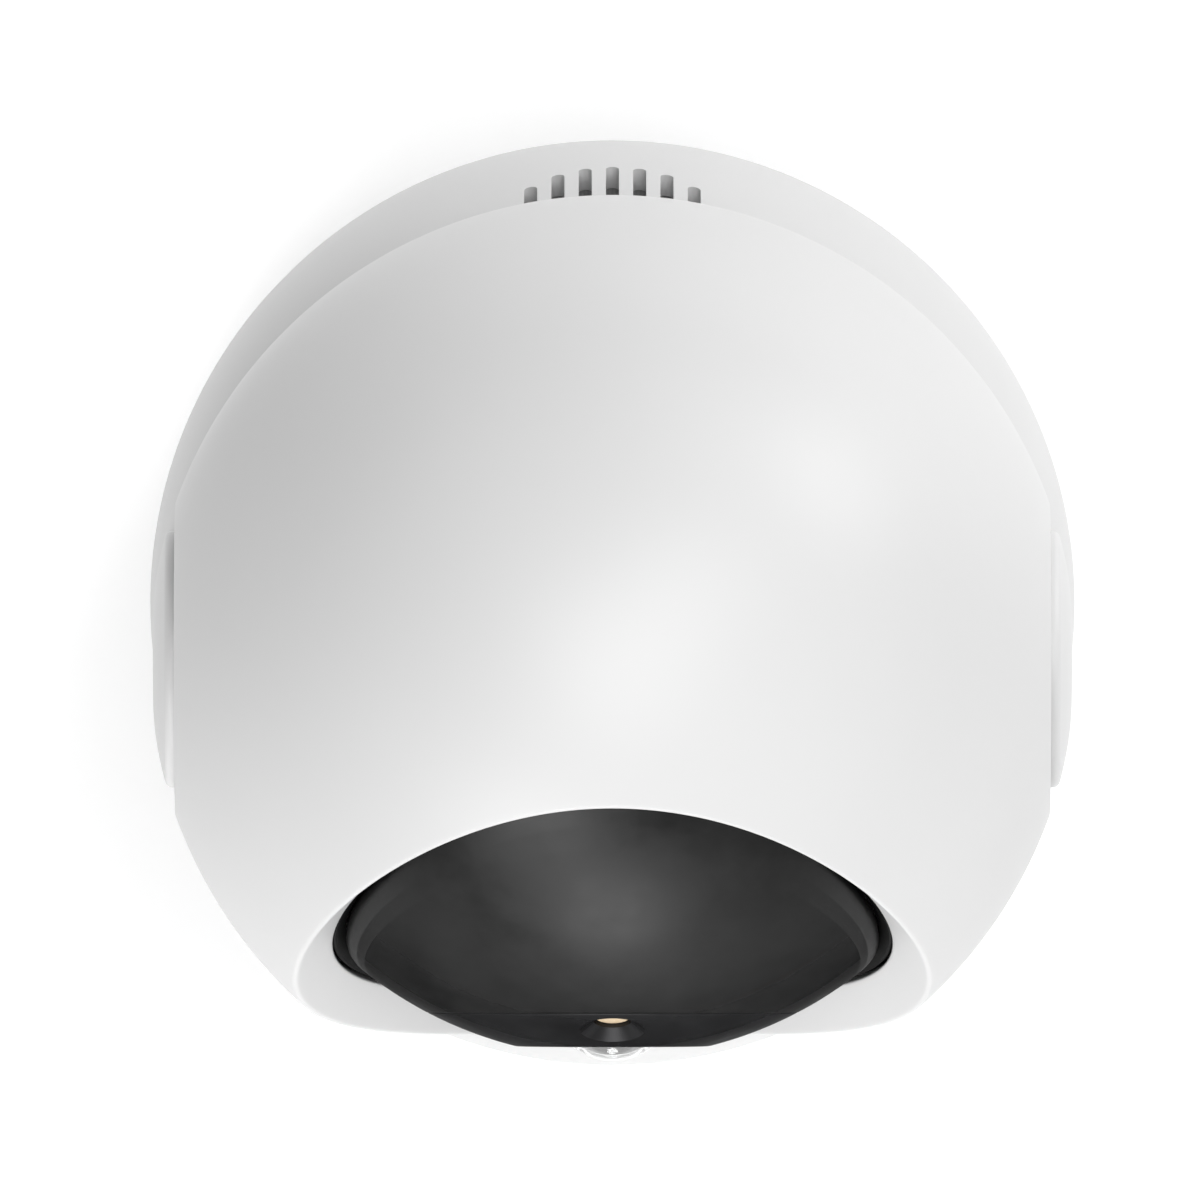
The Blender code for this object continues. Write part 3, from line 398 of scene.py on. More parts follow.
def circuit(name):
    """Green solder mask over copper lines, with plated pads."""
    material, tree, shader, place = node_material(name)
    lines = tree.nodes.new("ShaderNodeTexBrick")
    lines.inputs["Scale"].default_value = 1 / (9 * MM)
    lines.inputs["Color1"].default_value = (0.012, 0.1, 0.045, 1.0)
    lines.inputs["Color2"].default_value = (0.016, 0.13, 0.06, 1.0)
    lines.inputs["Mortar"].default_value = (0.03, 0.2, 0.09, 1.0)
    lines.inputs["Mortar Size"].default_value = 0.03
    tree.links.new(place, lines.inputs["Vector"])
    pads = tree.nodes.new("ShaderNodeTexVoronoi")
    pads.inputs["Scale"].default_value = 1 / (3 * MM)
    tree.links.new(place, pads.inputs["Vector"])
    ring = tree.nodes.new("ShaderNodeMath")
    ring.operation = 'LESS_THAN'
    ring.inputs[1].default_value = 0.13
    tree.links.new(pads.outputs["Distance"], ring.inputs[0])
    paint = tree.nodes.new("ShaderNodeMix")
    paint.data_type = 'RGBA'
    paint.inputs["B"].default_value = (0.7, 0.62, 0.4, 1.0)
    tree.links.new(ring.outputs["Value"], paint.inputs["Factor"])
    tree.links.new(lines.outputs["Color"], paint.inputs["A"])
    tree.links.new(paint.outputs["Result"], shader.inputs["Base Color"])
    tree.links.new(ring.outputs["Value"], shader.inputs["Metallic"])
    tree.links.new(ranged(tree, noise(tree, place, 2 * MM, 3.0), 0.34, 0.48), shader.inputs["Roughness"])
    bumped(tree, shader, lines.outputs["Fac"], 0.02 * MM, 0.3)
    return material


def clear_glass(name):
    """Clear glass with a faint haze and a reflecting coat."""
    material, tree, shader, place = node_material(name)
    haze = noise(tree, place, 1.5 * MM, 2.0)
    tree.links.new(ranged(tree, haze, 0.01, 0.04), shader.inputs["Roughness"])
    tint = mixed(tree, haze, (0.96, 0.975, 0.975), (0.98, 0.985, 0.985))
    tree.links.new(tint, shader.inputs["Base Color"])
    bumped(tree, shader, haze, 0.0002 * MM, 0.2)
    shader.inputs["Transmission Weight"].default_value = 1.0
    shader.inputs["IOR"].default_value = 1.48
    shader.inputs["Coat Weight"].default_value = 1.0
    shader.inputs["Coat IOR"].default_value = 2.0
    shader.inputs["Coat Roughness"].default_value = 0.05
    return material


def gold_cell(name):
    """A sensor's gold face, finely speckled."""
    material, tree, shader, place = node_material(name)
    speckle = noise(tree, place, 0.18 * MM, 3.0, 0.6)
    gold = mixed(tree, ranged(tree, speckle, 0.0, 1.0), (0.78, 0.6, 0.38), (0.92, 0.74, 0.52))
    tree.links.new(gold, shader.inputs["Base Color"])
    tree.links.new(ranged(tree, speckle, 0.35, 0.5), shader.inputs["Roughness"])
    bumped(tree, shader, speckle, 0.01 * MM, 0.4)
    shader.inputs["Metallic"].default_value = 0.25
    return material


WHITE = plastic("satin_white_plastic", (0.68, 0.68, 0.68), 0.985, 0.42, 0.14 * MM, 0.004 * MM)
BASE_WHITE = plastic("base_white_plastic", (0.66, 0.66, 0.66), 0.97, 0.5, 0.18 * MM, 0.006 * MM)
GREY = plastic("grey_plastic", (0.42, 0.43, 0.44), 0.93, 0.55, 0.3 * MM, 0.02 * MM)
FACE_BLACK = gloss_black("face_black", (0.036, 0.036, 0.036), 0.39)
# Copies of the face's black whose stronger grazing reflection paints a highlight along the face's edge.
FACE_SIDE_PAINTED_HIGHLIGHT = gloss_black("face_side_painted_highlight", (0.036, 0.036, 0.036), 0.38, 0.42)
FACE_EDGE_PAINTED_HIGHLIGHT = gloss_black("face_edge_painted_highlight", (0.036, 0.036, 0.036), 0.36, 0.68)
WINDOW_BLACK = gloss_black("window_black", (0.035, 0.035, 0.036), 0.38)
BEZEL_BLACK = plastic("bezel_black", (0.004, 0.004, 0.004), 0.8, 0.6, 0.2 * MM, 0.01 * MM, specular=0.05)
CLOTH = woven("speaker_cloth", (0.3, 0.3, 0.3))
# A grey darker than the white: the speaker's own colour, and painted shade on the slot walls, which the cuts
# take on.
SPEAKER_GREY_AND_SLOT_SHADE = plastic("speaker_grey_and_painted_slot_shade", (0.6, 0.6, 0.6), 0.95, 0.6, 0.2 * MM, 0.01 * MM)
MATT_BLACK = plastic("matt_black_plastic", (0.011, 0.011, 0.012), 0.8, 0.6, 0.2 * MM, 0.01 * MM, specular=0.3)
NATURAL = plastic("natural_bearing_plastic", (0.72, 0.7, 0.63), 0.95, 0.45, 0.25 * MM, 0.008 * MM)
RUBBER = plastic("foot_rubber", (0.03, 0.03, 0.03), 0.7, 0.85, 0.3 * MM, 0.03 * MM, specular=0.3)
STEEL = metal("plated_steel", (0.6, 0.6, 0.61), 0.32)
BOARD = circuit("circuit_board")
GLASS = clear_glass("lens_clear")
GOLD = gold_cell("sensor_gold")


# ---------------------------------------------------------------- head

def opening_way(column, columns, scale, outward=0.0):
    """A direction on the opening's cone for one column, turned further out by an angle."""
    phi = 2 * math.pi * column / columns
    wide = OPEN_WIDE * math.cos(phi)
    high = OPEN_HIGH * math.sin(phi)
    spread = math.atan(scale * math.hypot(wide, high)) + outward
    azimuth = math.atan2(high, wide)
    across = math.sin(spread)
    return aim(RISE) @ Vector((across * math.cos(azimuth), across * math.sin(azimuth), math.cos(spread)))


def opening_row(columns, radius, scale=1.0, outward=0.0):
    """A row of points round the opening, at a distance from the head's centre."""
    return [HEAD + opening_way(i, columns, scale, outward) * radius for i in range(columns)]


def head_rows(columns):
    """The head's rows: from behind the lip, over its rim and round the ball to the back, and those inside."""
    rim = 0.55 * MM
    soft = 0.25 * MM
    outside_rings, inside_rings = 96, 40
    crowding = 1.08                                          # above 1, rings lie closer near the lip
    inner_sphere = HEAD_RADIUS - WALL
    rows = []
    for radius, out in corner((LIP_INNER + soft, LIP_THICK), (LIP_INNER, LIP_THICK),
                              (LIP_INNER, LIP_THICK - soft), 3):
        rows.append(opening_row(columns, radius, 1.0, out / radius))
    for radius, out in corner((LIP_INNER, soft), (LIP_INNER, 0.0), (LIP_INNER + soft, 0.0), 4):
        rows.append(opening_row(columns, radius, 1.0, out / radius))
    for radius in steps(LIP_INNER + 2 * soft, HEAD_RADIUS - 1.6 * rim, 6):
        rows.append(opening_row(columns, radius))
    for radius, out in corner((HEAD_RADIUS - rim, 0.0), (HEAD_RADIUS, 0.0), (HEAD_RADIUS, rim), 7):
        rows.append(opening_row(columns, radius, 1.0, out / radius))
    start = rim / HEAD_RADIUS
    forward = aim(RISE) @ Vector((0, 0, 1))
    runs = [HALF_TURN - opening_way(i, columns, 1.0).angle(forward) - start for i in range(columns)]
    for j in range(1, outside_rings):
        share = (j / outside_rings) ** crowding
        rows.append([HEAD + opening_way(i, columns, 1.0, start + runs[i] * share) * HEAD_RADIUS
                     for i in range(columns)])
    rows.append([HEAD - forward * HEAD_RADIUS])
    inside = []
    behind_lip = LIP_THICK / inner_sphere
    limit = HEAD_FLAT - WALL
    for j in range(inside_rings):
        row = []
        for i in range(columns):
            turn = behind_lip + (runs[i] + start - behind_lip) * j / inside_rings
            place = opening_way(i, columns, 1.0, turn) * inner_sphere
            place.x = max(-limit, min(limit, place.x))
            row.append(HEAD + place)
        inside.append(row)
    inside.append([HEAD - forward * inner_sphere])
    return rows, inside


def flat_side(work, side):
    """Replace one side of the ball with a flat that has a soft edge and a hole for the tilt bush."""
    axis = Vector((side, 0, 0))
    level = 39.3 * MM                                        # where the ball's own rings stop
    soft = 0.22 * MM
    bush = 5.5 * MM
    slice_off(work, HEAD + axis * level, axis)
    loop = loop_at(work, HEAD, axis, level, math.sqrt(HEAD_RADIUS ** 2 - level ** 2))
    edge_angle = math.acos(HEAD_FLAT / HEAD_RADIUS)
    flat_edge = HEAD_RADIUS * math.sin(edge_angle)
    sphere_end = edge_angle + soft / HEAD_RADIUS
    ball_angles = steps(math.acos(level / HEAD_RADIUS), sphere_end, 6)[1:]
    profile = [polar(angle, HEAD_RADIUS) for angle in ball_angles]
    profile += corner(polar(sphere_end, HEAD_RADIUS), (flat_edge, HEAD_FLAT),
                      (flat_edge - soft, HEAD_FLAT), 4)[1:]
    profile += [(flat_edge - 3 * soft, HEAD_FLAT), (9 * MM, HEAD_FLAT), (bush + 0.3 * MM, HEAD_FLAT),
                (bush, HEAD_FLAT - 0.2 * MM), (bush, HEAD_FLAT - WALL)]
    collar(work, HEAD, axis, loop, profile)


def rear_hole(work):
    """Open the round hole that the rear cover fills, with a soft edge."""
    rear = Euler((REAR_TURN, 0, 0)).to_matrix() @ Vector((0, 0, 1))
    spread = REAR_SPREAD + math.radians(0.35)
    soft = 0.2 * MM
    cut_at = spread + 0.35 * MM / HEAD_RADIUS
    level = HEAD_RADIUS * math.cos(cut_at)
    slice_off(work, HEAD + rear * level, rear)
    inner_sphere = HEAD_RADIUS - WALL
    outer_loop = loop_at(work, HEAD, rear, level, HEAD_RADIUS * math.sin(cut_at))
    inner_loop = loop_at(work, HEAD, rear, level, math.sqrt(inner_sphere ** 2 - level ** 2))
    profile = corner(polar(cut_at, HEAD_RADIUS), polar(spread, HEAD_RADIUS),
                     polar(spread, HEAD_RADIUS - soft), 3)[1:]
    profile.append(polar(spread, inner_sphere + 0.2 * MM))
    last = collar(work, HEAD, rear, outer_loop, profile)
    bmesh.ops.bridge_loops(work, edges=last + inner_loop)


def card_and_button_cutters():
    """Cutters for the memory card's slot, with round ends, and for the reset button's hole."""
    turn = aim(CARD_RISE)
    centre = HEAD + turn @ Vector((0, 0, 1)) * 41 * MM
    outward, inward = 4 * MM, -6 * MM
    half, height = CARD_HALF
    outline = []
    for side in (1, -1):
        for angle in steps(-QUARTER, QUARTER, 8):
            outline.append((side * (half + height * math.cos(angle)), side * height * math.sin(angle)))
    layers = []
    for depth in (inward, outward):
        layers.append([centre + turn @ Vector((CARD_X + x, y, depth)) for x, y in outline])
    prism = grid_mesh(layers)
    close_ends(prism)
    button = hole_profile(BUTTON_HOLE, outward, inward)
    return turned_cutter(button, centre + Vector((BUTTON_X, 0, 0)), turn, 48), scratch_object("slot", prism)


def head_skin():
    """The head's shell, with flat sides, a round hole for the rear cover, a card slot and a button hole."""
    outside, inside = head_rows(192)
    work = grid_mesh(outside)
    join_in(work, grid_mesh(inside))
    bmesh.ops.remove_doubles(work, verts=work.verts, dist=SAME_PLACE)
    lip_loops = [edge for edge in work.edges if edge.is_boundary]
    bmesh.ops.bridge_loops(work, edges=lip_loops)
    flat_side(work, -1)
    flat_side(work, 1)
    rear_hole(work)
    piece = new_piece("head_skin", work, "head", ["head_shell"], WHITE)
    cut(piece, *card_and_button_cutters())
    return piece


def rear_cover():
    """The cap behind and below, let in flush, with two sunk screw holes."""
    soft = 0.25 * MM
    head_seat, head_hole, shank_hole = 41.1 * MM, 2.1 * MM, 1.5 * MM
    beyond, within = 60 * MM, 30 * MM
    turn = Euler((REAR_TURN, 0, 0)).to_matrix()
    inner = HEAD_RADIUS - WALL
    last = REAR_SPREAD - soft / HEAD_RADIUS
    profile = [polar(angle, HEAD_RADIUS) for angle in steps(0.0, last, 40)]
    profile += corner(polar(last, HEAD_RADIUS), polar(REAR_SPREAD, HEAD_RADIUS),
                      polar(REAR_SPREAD, HEAD_RADIUS - soft), 4)[1:]
    profile += [polar(angle, inner) for angle in steps(REAR_SPREAD, 0.0, 20)]
    piece = turned_piece("rear_cover_skin", profile, "head", ["head_rear_cover"], WHITE, HEAD, turn, 192)
    hole = [(0.0, beyond), (head_hole, beyond), (head_hole, head_seat), (shank_hole, head_seat),
            (shank_hole, within), (0.0, within)]
    cut(piece, *[turned_cutter(hole, HEAD + Vector((side * COVER_SCREW_X, 0, 0)), turn, 48)
                 for side in (-1, 1)])
    return piece


def bezel():
    """The black ring between the lip and the face."""
    columns = 160
    inner, outer = 36.3 * MM, LIP_INNER - 0.3 * MM
    soft = 0.2 * MM
    near, rounded, far = 1.008, 1.015, 1.045                 # scales of the opening's cone
    rows = [opening_row(columns, inner, near), opening_row(columns, outer - soft, near),
            opening_row(columns, outer, rounded), opening_row(columns, outer, far),
            opening_row(columns, inner, far)]
    return new_piece("bezel_skin", grid_mesh(rows, ring=True), "head", ["bezel_ring"], BEZEL_BLACK,
                     math.radians(30))


def face_rows(columns):
    """Rows of the face from the window's round seam to its oval edge and behind, and how many are dome."""
    seam = WINDOW + 0.07 * MM / FACE_RADIUS
    seam_round = 0.06 * MM
    fillet = 1.4 * MM
    thick = 1.6 * MM
    back = FACE_RADIUS - fillet - 0.5 * MM
    forward = aim(0.0) @ Vector((0, 0, 1))
    lines = []
    for i in range(columns):
        far = opening_way(i, columns, FACE_EDGE)
        across = (far - forward * far.dot(forward)).normalized()
        near = forward * math.cos(seam) + across * math.sin(seam)
        lines.append((near, far, near.angle(far) * FACE_RADIUS))

    def row(radius, place_of):
        """Points at a distance from the head's centre, placed along each line by its span."""
        points = []
        for near, far, span in lines:
            share = max(0.0, min(1.0, place_of(span) / span))
            points.append(HEAD + near.slerp(far, share) * radius)
        return points

    rows = [row(FACE_RADIUS - thick, lambda span: 0.0)]
    for run, radius in corner((0.0, FACE_RADIUS - seam_round), (0.0, FACE_RADIUS),
                              (seam_round, FACE_RADIUS), 3):
        rows.append(row(radius, lambda span: run))
    for share in steps(0.02, 0.98, 30):
        rows.append(row(FACE_RADIUS, lambda span: seam_round + (span - fillet - seam_round) * share))
    dome_rows = len(rows)
    for angle in steps(0.0, QUARTER, 10):
        inset = fillet * (1 - math.sin(angle))
        rows.append(row(FACE_RADIUS - fillet * (1 - math.cos(angle)), lambda span: span - inset))
    for inset in (0.0, 0.4 * MM):
        rows.append(row(back, lambda span: span - inset))
    return rows, dome_rows


def face():
    """The face, whose outermost bands get more grazing reflection than the rest of the same black plastic, as
    a painted highlight where it rounds over towards the lip.
    """
    columns = 192
    rows, dome_rows = face_rows(columns)
    piece = new_piece("face_skin", grid_mesh(rows, ring=True), "head", ["face_cover"], FACE_BLACK)
    # the outer bands take the copies with more reflection: a painted highlight along the edge
    painted_highlight_bands = ((FACE_SIDE_PAINTED_HIGHLIGHT, dome_rows - 6), (FACE_EDGE_PAINTED_HIGHLIGHT, dome_rows - 3))
    for slot, (material, first_row) in enumerate(painted_highlight_bands, start=1):
        piece.data.materials.append(material)
        for polygon in piece.data.polygons[first_row * columns:]:
            polygon.material_index = slot
    return piece


def lens_window():
    """The round window: a dome, a flat round the lens, and a sunk hole for the light sensor."""
    soft = 0.06 * MM
    edge = math.acos(FACET / FACE_RADIUS)
    inner = FACE_RADIUS - WALL
    flat_edge = FACE_RADIUS * math.sin(edge)
    near_edge = edge + 0.25 * MM / FACE_RADIUS
    chamfer = 0.15 * MM
    profile = [(LENS_HOLE, inner), (LENS_HOLE, FACET - chamfer), (LENS_HOLE + chamfer, FACET)]
    profile += [(radius, FACET) for radius in steps(LENS_HOLE + 0.6 * MM, flat_edge - 0.5 * MM, 6)]
    profile += corner((flat_edge - 0.2 * MM, FACET), (flat_edge, FACET), polar(near_edge, FACE_RADIUS), 4)
    last = WINDOW - soft / FACE_RADIUS
    profile += [polar(angle, FACE_RADIUS) for angle in steps(near_edge, last, 30)[1:]]
    profile += corner(polar(last, FACE_RADIUS), polar(WINDOW, FACE_RADIUS),
                      polar(WINDOW, FACE_RADIUS - soft), 3)[1:]
    profile += [polar(WINDOW, inner + 0.2 * MM), polar(WINDOW * 0.6, inner)]
    piece = turned_piece("window_skin", profile, "head", ["lens_window"], WINDOW_BLACK, HEAD, aim(0.0), 192)
    beyond, within = 39 * MM, 30 * MM
    wide, narrow, bore = (5.6 * MM, beyond), (3.05 * MM, 37.2 * MM), (1.75 * MM, 36.25 * MM)
    sink = [(0.0, beyond), wide, narrow, bore, (bore[0], within), (0.0, within)]
    cut(piece, turned_cutter(sink, HEAD, aim(SENSOR_RISE), 96))
    return piece


def ball_through(radius, rise):
    """The radius of the ball whose cap has this radius and this rise."""
    return (radius ** 2 + rise ** 2) / (2 * rise)


def cap(ball, centre, start, end, count):
    """Profile points on a ball whose centre is at a height, between two angles from the axis."""
    return [(radius, centre + height) for radius, height in
            [polar(angle, ball) for angle in steps(start, end, count)]]


def lens():
    """The outer lens, a hollow dome with a rim, and the second element behind it."""
    rim, bore, back = LENS_RADIUS - 0.15 * MM, LENS_RADIUS - 1.1 * MM, FACET - 0.4 * MM
    thick = 0.4 * MM
    ball = ball_through(LENS_RADIUS, LENS_RISE)
    spread = math.asin(LENS_RADIUS / ball) * 0.985
    hollow_rise = LENS_RISE - thick - (back - FACET)
    hollow = ball_through(bore, hollow_rise)
    profile = cap(ball, FACET + LENS_RISE - ball, 0.0, spread, 28)
    profile += [(rim, FACET - 0.05 * MM), (rim, back), (bore, back)]
    profile += cap(hollow, back + hollow_rise - hollow, math.asin(bore / hollow), 0.0, 20)
    work = grid_mesh(turned_rows(profile, 128, HEAD, aim(0.0)))
    second, front, low, edge = 5.2 * MM, 34.9 * MM, 33.5 * MM, 3.1 * MM
    profile = cap(second, front - second, 0.0, math.asin(edge / second), 16)
    profile += [(edge, low), (0.0, low)]
    join_in(work, grid_mesh(turned_rows(profile, 96, HEAD, aim(0.0))))
    return new_piece("lens_skin", work, "head", ["lens_glass"], GLASS)


def light_sensor():
    """A gold disc at the bottom of the sunk hole."""
    radius, top, low, soft = 1.67 * MM, 35.87 * MM, 34.2 * MM, 0.06 * MM
    profile = [(0.0, top), (radius - soft, top), (radius, top - soft), (radius, low), (0.0, low)]
    return turned_piece("sensor_skin", profile, "head", ["light_sensor"], GOLD, HEAD, aim(SENSOR_RISE), 64)


# ---------------------------------------------------------------- body

def angle_on_body(radius):
    """Where a ball about the body's centre meets the cup, as an angle from the cup's axis."""
    apart = (HEAD - BODY).length
    return math.acos((radius ** 2 + apart ** 2 - CUP_RADIUS ** 2) / (2 * radius * apart))


def body_skin():
    """The body's ball: outer skin, rounded rim and inner skin, cut level at the foot."""
    soft = 0.45 * MM
    inner = BODY_RADIUS - WALL
    up = Vector((0, 0, 1))
    turn = up.rotation_difference((HEAD - BODY).normalized()).to_matrix()
    outer_rim, inner_rim = angle_on_body(BODY_RADIUS), angle_on_body(inner)
    rim_start = outer_rim + soft / BODY_RADIUS
    bottom = HALF_TURN - math.radians(8)
    profile = [polar(bottom, inner)]
    profile += [polar(angle, inner) for angle in steps(bottom, inner_rim, 40)[1:]]
    tip_in, tip_out = polar(inner_rim, inner), polar(outer_rim, BODY_RADIUS)
    across = [tuple(a + (b - a) * share for a, b in zip(tip_in, tip_out)) for share in (0.3, 0.78)]
    profile.append(across[0])
    profile += corner(across[1], tip_out, polar(rim_start, BODY_RADIUS), 6)
    profile += [polar(angle, BODY_RADIUS) for angle in steps(rim_start, bottom, 110)[1:]]
    work = grid_mesh(turned_rows(profile, 240, BODY, turn))
    level_foot(work, inner)
    piece = new_piece("body_skin", work, "pan_body", ["body_shell"], WHITE)
    cut(piece, *[slot_cutter(number) for number in range(SLOT_COUNT)])
    return piece


def level_foot(work, inner):
    """Cut the body's ball level at the foot, and round its lower edge."""
    down = Vector((0, 0, -1))
    cut_at = BODY_FOOT + 0.5 * MM
    slice_off(work, Vector((0, 0, cut_at)), down)
    drop, low = BODY.z - cut_at, BODY.z - BODY_FOOT
    wide = math.sqrt(BODY_RADIUS ** 2 - drop ** 2)
    foot = math.sqrt(BODY_RADIUS ** 2 - low ** 2)
    outer_loop = loop_at(work, BODY, down, drop, wide)
    inner_loop = loop_at(work, BODY, down, drop, math.sqrt(inner ** 2 - drop ** 2))
    profile = corner((wide, drop), (foot, low), (foot - 0.5 * MM, low), 4)[1:]
    last = collar(work, BODY, down, outer_loop, profile)
    bmesh.ops.bridge_loops(work, edges=last + inner_loop)


def slot_cutter(number):
    """One upright slot of the speaker's grille, with round ends, whose cut walls take a darker grey as
    painted shade.
    """
    across = (number - (SLOT_COUNT - 1) / 2) * SLOT_PITCH
    last = GRILLE_ANGLE + math.sqrt(GRILLE_RADIUS ** 2 - across ** 2) / BODY_RADIUS
    middle = (SLOT_TOP + last) / 2
    straight = (last - SLOT_TOP) / 2 * BODY_RADIUS - SLOT_WIDTH / 2
    outline = []
    for side in (1, -1):
        for angle in steps(0.0, HALF_TURN, 12):
            outline.append((side * SLOT_WIDTH / 2 * math.cos(angle),
                            side * (SLOT_WIDTH / 2 * math.sin(angle) + straight)))
    turn = Euler((-middle, 0, 0)).to_matrix()
    within, beyond = 39 * MM, 47 * MM
    layers = []
    for depth in (within, beyond):
        layers.append([BODY + Vector((across, 0, 0)) + turn @ Vector((x, y, depth)) for x, y in outline])
    work = grid_mesh(layers)
    close_ends(work)
    cutter = scratch_object("slot", work)
    # the cut walls take this darker grey: painted shade inside the slot
    cutter.data.materials.append(SPEAKER_GREY_AND_SLOT_SHADE)
    return cutter


def speaker_cloth():
    """The thin cloth inside the wall, behind the slots."""
    half_width = 9.5 * MM
    wall_inside = BODY_RADIUS - WALL
    outer, inner = wall_inside - 0.05 * MM, wall_inside - 0.3 * MM
    first, last = math.radians(58), math.radians(72)

    def line(angle, radius):
        places = []
        for across in steps(-half_width, half_width, 16):
            reach = math.sqrt(radius ** 2 - across ** 2)
            places.append(BODY + Vector((across, reach * math.sin(angle), reach * math.cos(angle))))
        return places

    rows = []
    for angle in steps(first, last, 10):
        rows.append(line(angle, outer) + line(angle, inner)[::-1])
    work = grid_mesh(rows)
    bmesh.ops.holes_fill(work, edges=work.edges)
    return new_piece("speaker_cloth", work, "pan_body", [], CLOTH)


def arm_outside(y, z):
    """How far out the arm's outer face is, for a place relative to the head's centre."""
    blend_top, blend_drop, blend_in = BODY.z + 4 * MM, 19 * MM, 4.4 * MM
    sharp, near = 0.35 * MM, 3 * MM
    radius = HEAD_RADIUS
    height = z + HEAD.z
    if height < blend_top:
        share = min(1.3, (blend_top - height) / blend_drop)
        radius -= blend_in * share ** 2
    ball = math.sqrt(max(0.0, radius ** 2 - y ** 2 - max(0.0, z) ** 2))
    gap = ARM_OUT - ball
    if gap >= near:
        return ball
    # a soft minimum, so that the flat and the ball run into each other
    return (ARM_OUT + ball - math.sqrt(gap ** 2 + sharp ** 2)) / 2


def arm_outline(inset, columns):
    """A U upside down about the head's centre: up one side, over the round top and down the other."""
    low = ARM_LOW - HEAD.z
    reach = ARM_HALF - inset
    straight = columns // 3
    line = [(reach, low * (1 - share)) for share in steps(0.0, 1.0, straight)]
    for angle in steps(0.0, HALF_TURN, columns - 2 * straight)[1:]:
        line.append((reach * math.cos(angle), reach * math.sin(angle)))
    line += [(-reach, low * share) for share in steps(0.0, 1.0, straight)[1:]]
    return line


def arm_outer_row(inset, depth, columns, side):
    """The arm's outline on its outer face, or sunk below it by a depth."""
    return [HEAD + Vector((side * (arm_outside(y, z) - depth), y, z)) for y, z in arm_outline(inset, columns)]


def arm_inner_row(inset, columns, side):
    """The arm's outline on its inner face, which clears the cup's ball lower down."""
    cup = CUP_RADIUS + 0.02 * MM
    row = []
    for y, z in arm_outline(inset, columns):
        out = min(ARM_IN, math.sqrt(max(0.0, cup ** 2 - y ** 2 - z ** 2)))
        row.append(HEAD + Vector((side * out, y, z)))
    return row


def arm(name, side):
    """One arm: an inner face against the head, a rounded edge and an outer face that sinks into the body."""
    columns = 90
    soft = 0.5 * MM
    rows = [arm_inner_row(inset, columns, side) for inset in steps(ARM_HALF, 0.0, 15)]
    for angle in steps(0.0, QUARTER, 6):
        rows.append(arm_outer_row(soft * (1 - math.cos(angle)), soft * (1 - math.sin(angle)), columns, side))
    rows += [arm_outer_row(inset, 0.0, columns, side) for inset in steps(soft * 1.4, ARM_HALF, 22)]
    work = grid_mesh(rows, around=False)
    bmesh.ops.remove_doubles(work, verts=work.verts, dist=SAME_PLACE)
    close_ends(work)
    return new_piece(name, work, "pan_body", [], WHITE)


# ---------------------------------------------------------------- base

def inlet_cutter():
    """The power inlet's recess: a block let in from the back, with its long edges rounded."""
    place = Matrix.Translation((0, 35 * MM, 6.1 * MM))
    size = Matrix.Diagonal((11 * MM, 12 * MM, 5.6 * MM, 1))
    work = bmesh.new()
    bmesh.ops.create_cube(work, size=1.0, matrix=place @ size)
    long_edges = []
    for edge in work.edges:
        way = (edge.verts[0].co - edge.verts[1].co).normalized()
        if abs(way.y) > 0.9:
            long_edges.append(edge)
    bmesh.ops.bevel(work, geom=long_edges, offset=1.2 * MM, segments=6, affect='EDGES', profile=0.5)
    return scratch_object("inlet", work)


def base_skin():
    """The base's housing: a shallow round drum with soft edges and the power inlet's recess behind."""
    high, low = 36.2 * MM, 34.4 * MM
    bore, deck = 32.2 * MM, 1.8 * MM
    hole = 8.0 * MM
    soft = 0.7 * MM
    profile = [(hole, BASE_TOP), (hole + 6 * MM, BASE_TOP), (high - 2 * soft, BASE_TOP)]
    profile += corner((high - soft, BASE_TOP), (high, BASE_TOP), (high - 0.06 * soft, BASE_TOP - soft), 6)
    profile += [(high - 0.4 * MM, BASE_TOP - 2.5 * MM), (low + 0.4 * MM, BASE_LOW + 2 * MM)]
    profile += corner((low + 0.1 * MM, BASE_LOW + 0.5 * MM), (low, BASE_LOW), (low - 0.5 * MM, BASE_LOW), 5)
    profile += [(bore, BASE_LOW), (bore, BASE_TOP - deck), (hole, BASE_TOP - deck)]
    piece = turned_piece("base_skin", profile, "base", ["base_housing"], BASE_WHITE, columns=200)
    cut(piece, inlet_cutter())
    return piece


def foot_skin():
    """The rubber ring under the base, with rounded lower edges."""
    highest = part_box("foot_ring")[1]
    outer, top = highest[0], highest[2]
    inner = outer - 3 * MM
    soft = 0.35 * MM
    profile = [(inner, top), (outer, top), (outer, soft)]
    profile += corner((outer, soft), (outer, 0.0), (outer - soft, 0.0), 4)[1:]
    profile += corner((inner + soft, 0.0), (inner, 0.0), (inner, soft), 4)
    return turned_piece("foot_skin", profile, "base", ["foot_ring"], RUBBER)


# ---------------------------------------------------------------- pieces that keep their CAD shape

CARRIED = {
    GREY: ("base_plate", "body_floor"),
    WHITE: ("cradle_bowl",),
    SPEAKER_GREY_AND_SLOT_SHADE: ("speaker",),
    STEEL: ("base_screw_1", "base_screw_2", "base_screw_3", "floor_screw_1", "floor_screw_2",
            "floor_screw_3", "cover_screw_1", "cover_screw_2", "power_inlet", "gear_clip", "pan_motor",
            "tilt_motor", "tilt_axle_left", "tilt_axle_right", "microphone", "sd_socket"),
    NATURAL: ("pan_shaft", "pan_gear", "pan_pinion", "pan_washer", "tilt_gear", "tilt_pinion",
              "tilt_bush_left", "tilt_bush_right"),
    BOARD: ("power_board", "main_board", "sensor_board", "ir_board", "head_board", "wifi_antenna"),
    MATT_BLACK: ("lens_barrel", "lens_holder", "head_chassis", "reset_button"),
    GLASS: ("ir_led_1", "ir_led_2", "ir_led_3", "ir_led_4", "ir_led_5", "ir_led_6"),
}


